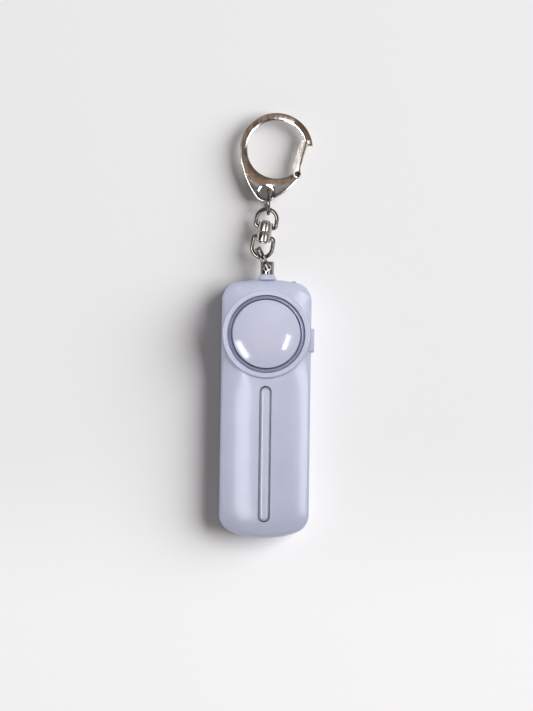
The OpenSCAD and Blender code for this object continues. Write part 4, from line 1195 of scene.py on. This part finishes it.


# Floor, light, camera: lengths here are in metres, the sensor's in millimetres

# the paper has one even colour; its lighter band towards -Y is painted light, not a tint of the paper
paper = {
    "half": 0.9, "colour": (238, 238, 239), "near": (248, 248, 249), "paintedLightSpan": (-0.075, -0.005),
    "rough": 0.9, "shine": 0.1, "fibre": (700.0, 4.0), "fibreDepth": 0.00001, "strength": 0.3,
}
sky = {
    "side": (0.1, 0.9, (0.05, 0.30)), "head": (0.2, 0.9, (0.0, 0.12)), "foot": (0.55, 0.8, (0.0, 0.4)),
    "footRise": (0.2, 0.4), "blue": 1.03, "dimX": (-0.03, 0.13, (0.0, 0.75)),
    "dimY": (0.09, 0.22, (0.0, 0.4)), "topSpan": (0.84, 0.97), "top": (0.36, 0.245, 0.175, 1.0),
    "dim": (0.06, 0.04, 0.03, 1.0), "horizonSpan": (0.06, 0.14), "horizon": (236, 236, 237),
}
view = {
    "size": (533, 711), "sensor": 24.0, "distance": 1.1, "level": 0.008, "pixel": 0.35 * mm,
    "middle": (265.3, 408.9), "roll": 0.8, "far": 10.0,
}
windowColour = (0.86, 0.93, 1.0)
lamps = {
    "shadeLight": {"place": (5.3, 1.4, 3.85), "size": (5.7, 5.7), "power": 750.0},
    "softLight": {"place": (0.035, 0.11, 0.2), "size": (0.14, 0.14), "power": 0.36},
    "leftFill": {"place": (-0.8, -0.1, 0.6), "size": (0.4, 0.4), "power": 1.9},
    "rightFill": {"place": (0.9, 0.0, 0.5), "size": (0.4, 0.4), "power": 1.2},
    "footFill": {"place": (0.0, -0.7, 0.55), "size": (0.4, 0.4), "power": 0.6},
    "leftWindow": {"place": (-0.432, -0.22, 1.2), "size": (0.72, 0.47), "power": 11.5},
    "rightWindow": {"place": (0.69, -0.25, 1.2), "size": (0.60, 0.20), "power": 3.2},
    "sideWindow": {"place": (1.48, 0.0, 1.2), "size": (0.9, 0.5), "power": 16.0},
    "gateWindow": {"place": (-0.63, 0.12, 1.2), "size": (0.3, 0.3), "power": 1.1},
    "domeLeft": {"place": (-0.67, -0.42, 1.2), "size": (0.55, 0.17), "power": 3.0},
    "domeRight": {"place": (0.538, -0.186, 1.2), "size": (0.42, 0.11), "power": 1.7},
}


def makeFloor():
    h = paper["half"] / mm
    obj = makeObject("floor", [(-h, -h, 0), (h, -h, 0), (h, h, 0), (-h, h, 0)], [(0, 1, 2, 3)])
    colour, near = linear(*paper["colour"]), linear(*paper["near"])
    mat, tree, shader, at = material("paper", colour, paper["rough"], Specular_IOR_Level=paper["shine"])
    y = Sock(tree, at.node("ShaderNodeSeparateXYZ", i0=at).outputs[1])
    # painted light: the floor colour brightens towards -Y
    join(tree, y.ramp(*paper["paintedLightSpan"]).mix(near, colour), shader.inputs["Base Color"])
    bump(at, shader, noise(at, *paper["fibre"]), paper["fibreDepth"], paper["strength"])
    paint(obj, mat)
    return obj


def makeWorld():
    world = bpy.data.worlds.new("studio")
    bpy.context.scene.world = world
    world.use_nodes = True
    tree = world.node_tree
    coords = tree.nodes.new("ShaderNodeTexCoord")
    at = Sock(tree, coords.outputs["Generated"])
    parts = at.node("ShaderNodeSeparateXYZ", i0=at)
    x, y, z = (Sock(tree, parts.outputs[i]) for i in range(3))
    level = x.ramp(*sky["side"]) + y.ramp(*sky["head"]) + (-y).ramp(*sky["foot"]) * z.ramp(*sky["footRise"])
    sides = Sock(tree, at.node("ShaderNodeCombineXYZ", X=level, Y=level, Z=level * sky["blue"]).outputs[0])
    dim = x.ramp(*sky["dimX"]) + y.ramp(*sky["dimY"])
    ceiling = dim.least(1.0).mix(sky["top"], sky["dim"])
    upper = z.ramp(*sky["topSpan"]).mix(sides, ceiling)
    whole = z.maths("ABSOLUTE").ramp(*sky["horizonSpan"]).mix(linear(*sky["horizon"]), upper)
    join(tree, whole, tree.nodes["Background"].inputs["Color"])


def makeLight(name, mirrored, state, *pieces):
    # a lamp lights only the pieces, or all but them; a mirrored one shows in reflections alone
    lamp = lamps[name]
    data = bpy.data.lights.new(name, "AREA")
    data.shape = "RECTANGLE"
    data.size, data.size_y = lamp["size"]
    data.energy = lamp["power"]
    if mirrored:
        data.color = windowColour
    obj = bpy.data.objects.new(name, data)
    obj.location = Vector(lamp["place"])
    obj.rotation_euler = (-obj.location).to_track_quat("-Z", "Y").to_euler()
    obj.visible_glossy, obj.visible_diffuse = mirrored, not mirrored
    bpy.context.scene.collection.objects.link(obj)
    group = bpy.data.collections.new(name + "Reach")
    for piece in pieces:
        group.objects.link(piece)
    for entry in group.collection_objects:
        entry.light_linking.link_state = state
    obj.light_linking.receiver_collection = group


def makeCamera():
    # one pixel spans view["pixel"] at the height view["level"]
    data = bpy.data.cameras.new("camera")
    obj = bpy.data.objects.new("camera", data)
    bpy.context.scene.collection.objects.link(obj)
    (width, height), (cx, cy), pixel = view["size"], view["middle"], view["pixel"]
    data.sensor_fit = "VERTICAL"
    data.sensor_height = view["sensor"]
    data.lens = view["sensor"] * view["distance"] / (height * pixel)
    data.clip_end = view["far"]
    roll = math.radians(view["roll"])
    dx, dy = (width / 2 - cx) * pixel, (cy - height / 2) * pixel
    x = dx * math.cos(roll) - dy * math.sin(roll)
    y = dx * math.sin(roll) + dy * math.cos(roll)
    obj.location = Vector((x, y, view["distance"] + view["level"]))
    obj.rotation_euler = (0, 0, roll)
    bpy.context.scene.camera = obj


floor = makeFloor()
makeWorld()
makeLight("shadeLight", False, "INCLUDE", floor)
for name in ("softLight", "leftFill", "rightFill", "footFill"):
    makeLight(name, False, "EXCLUDE", floor)
makeLight("leftWindow", True, "EXCLUDE", floor, dome)
makeLight("rightWindow", True, "EXCLUDE", floor, dome, front)
makeLight("sideWindow", True, "INCLUDE", front)
makeLight("gateWindow", True, "INCLUDE", gate)
for name in ("domeLeft", "domeRight"):
    makeLight(name, True, "INCLUDE", dome)
makeCamera()
bpy.context.scene.view_settings.view_transform = "Standard"
print("stage: floor, light and camera set")

print("stage: done")
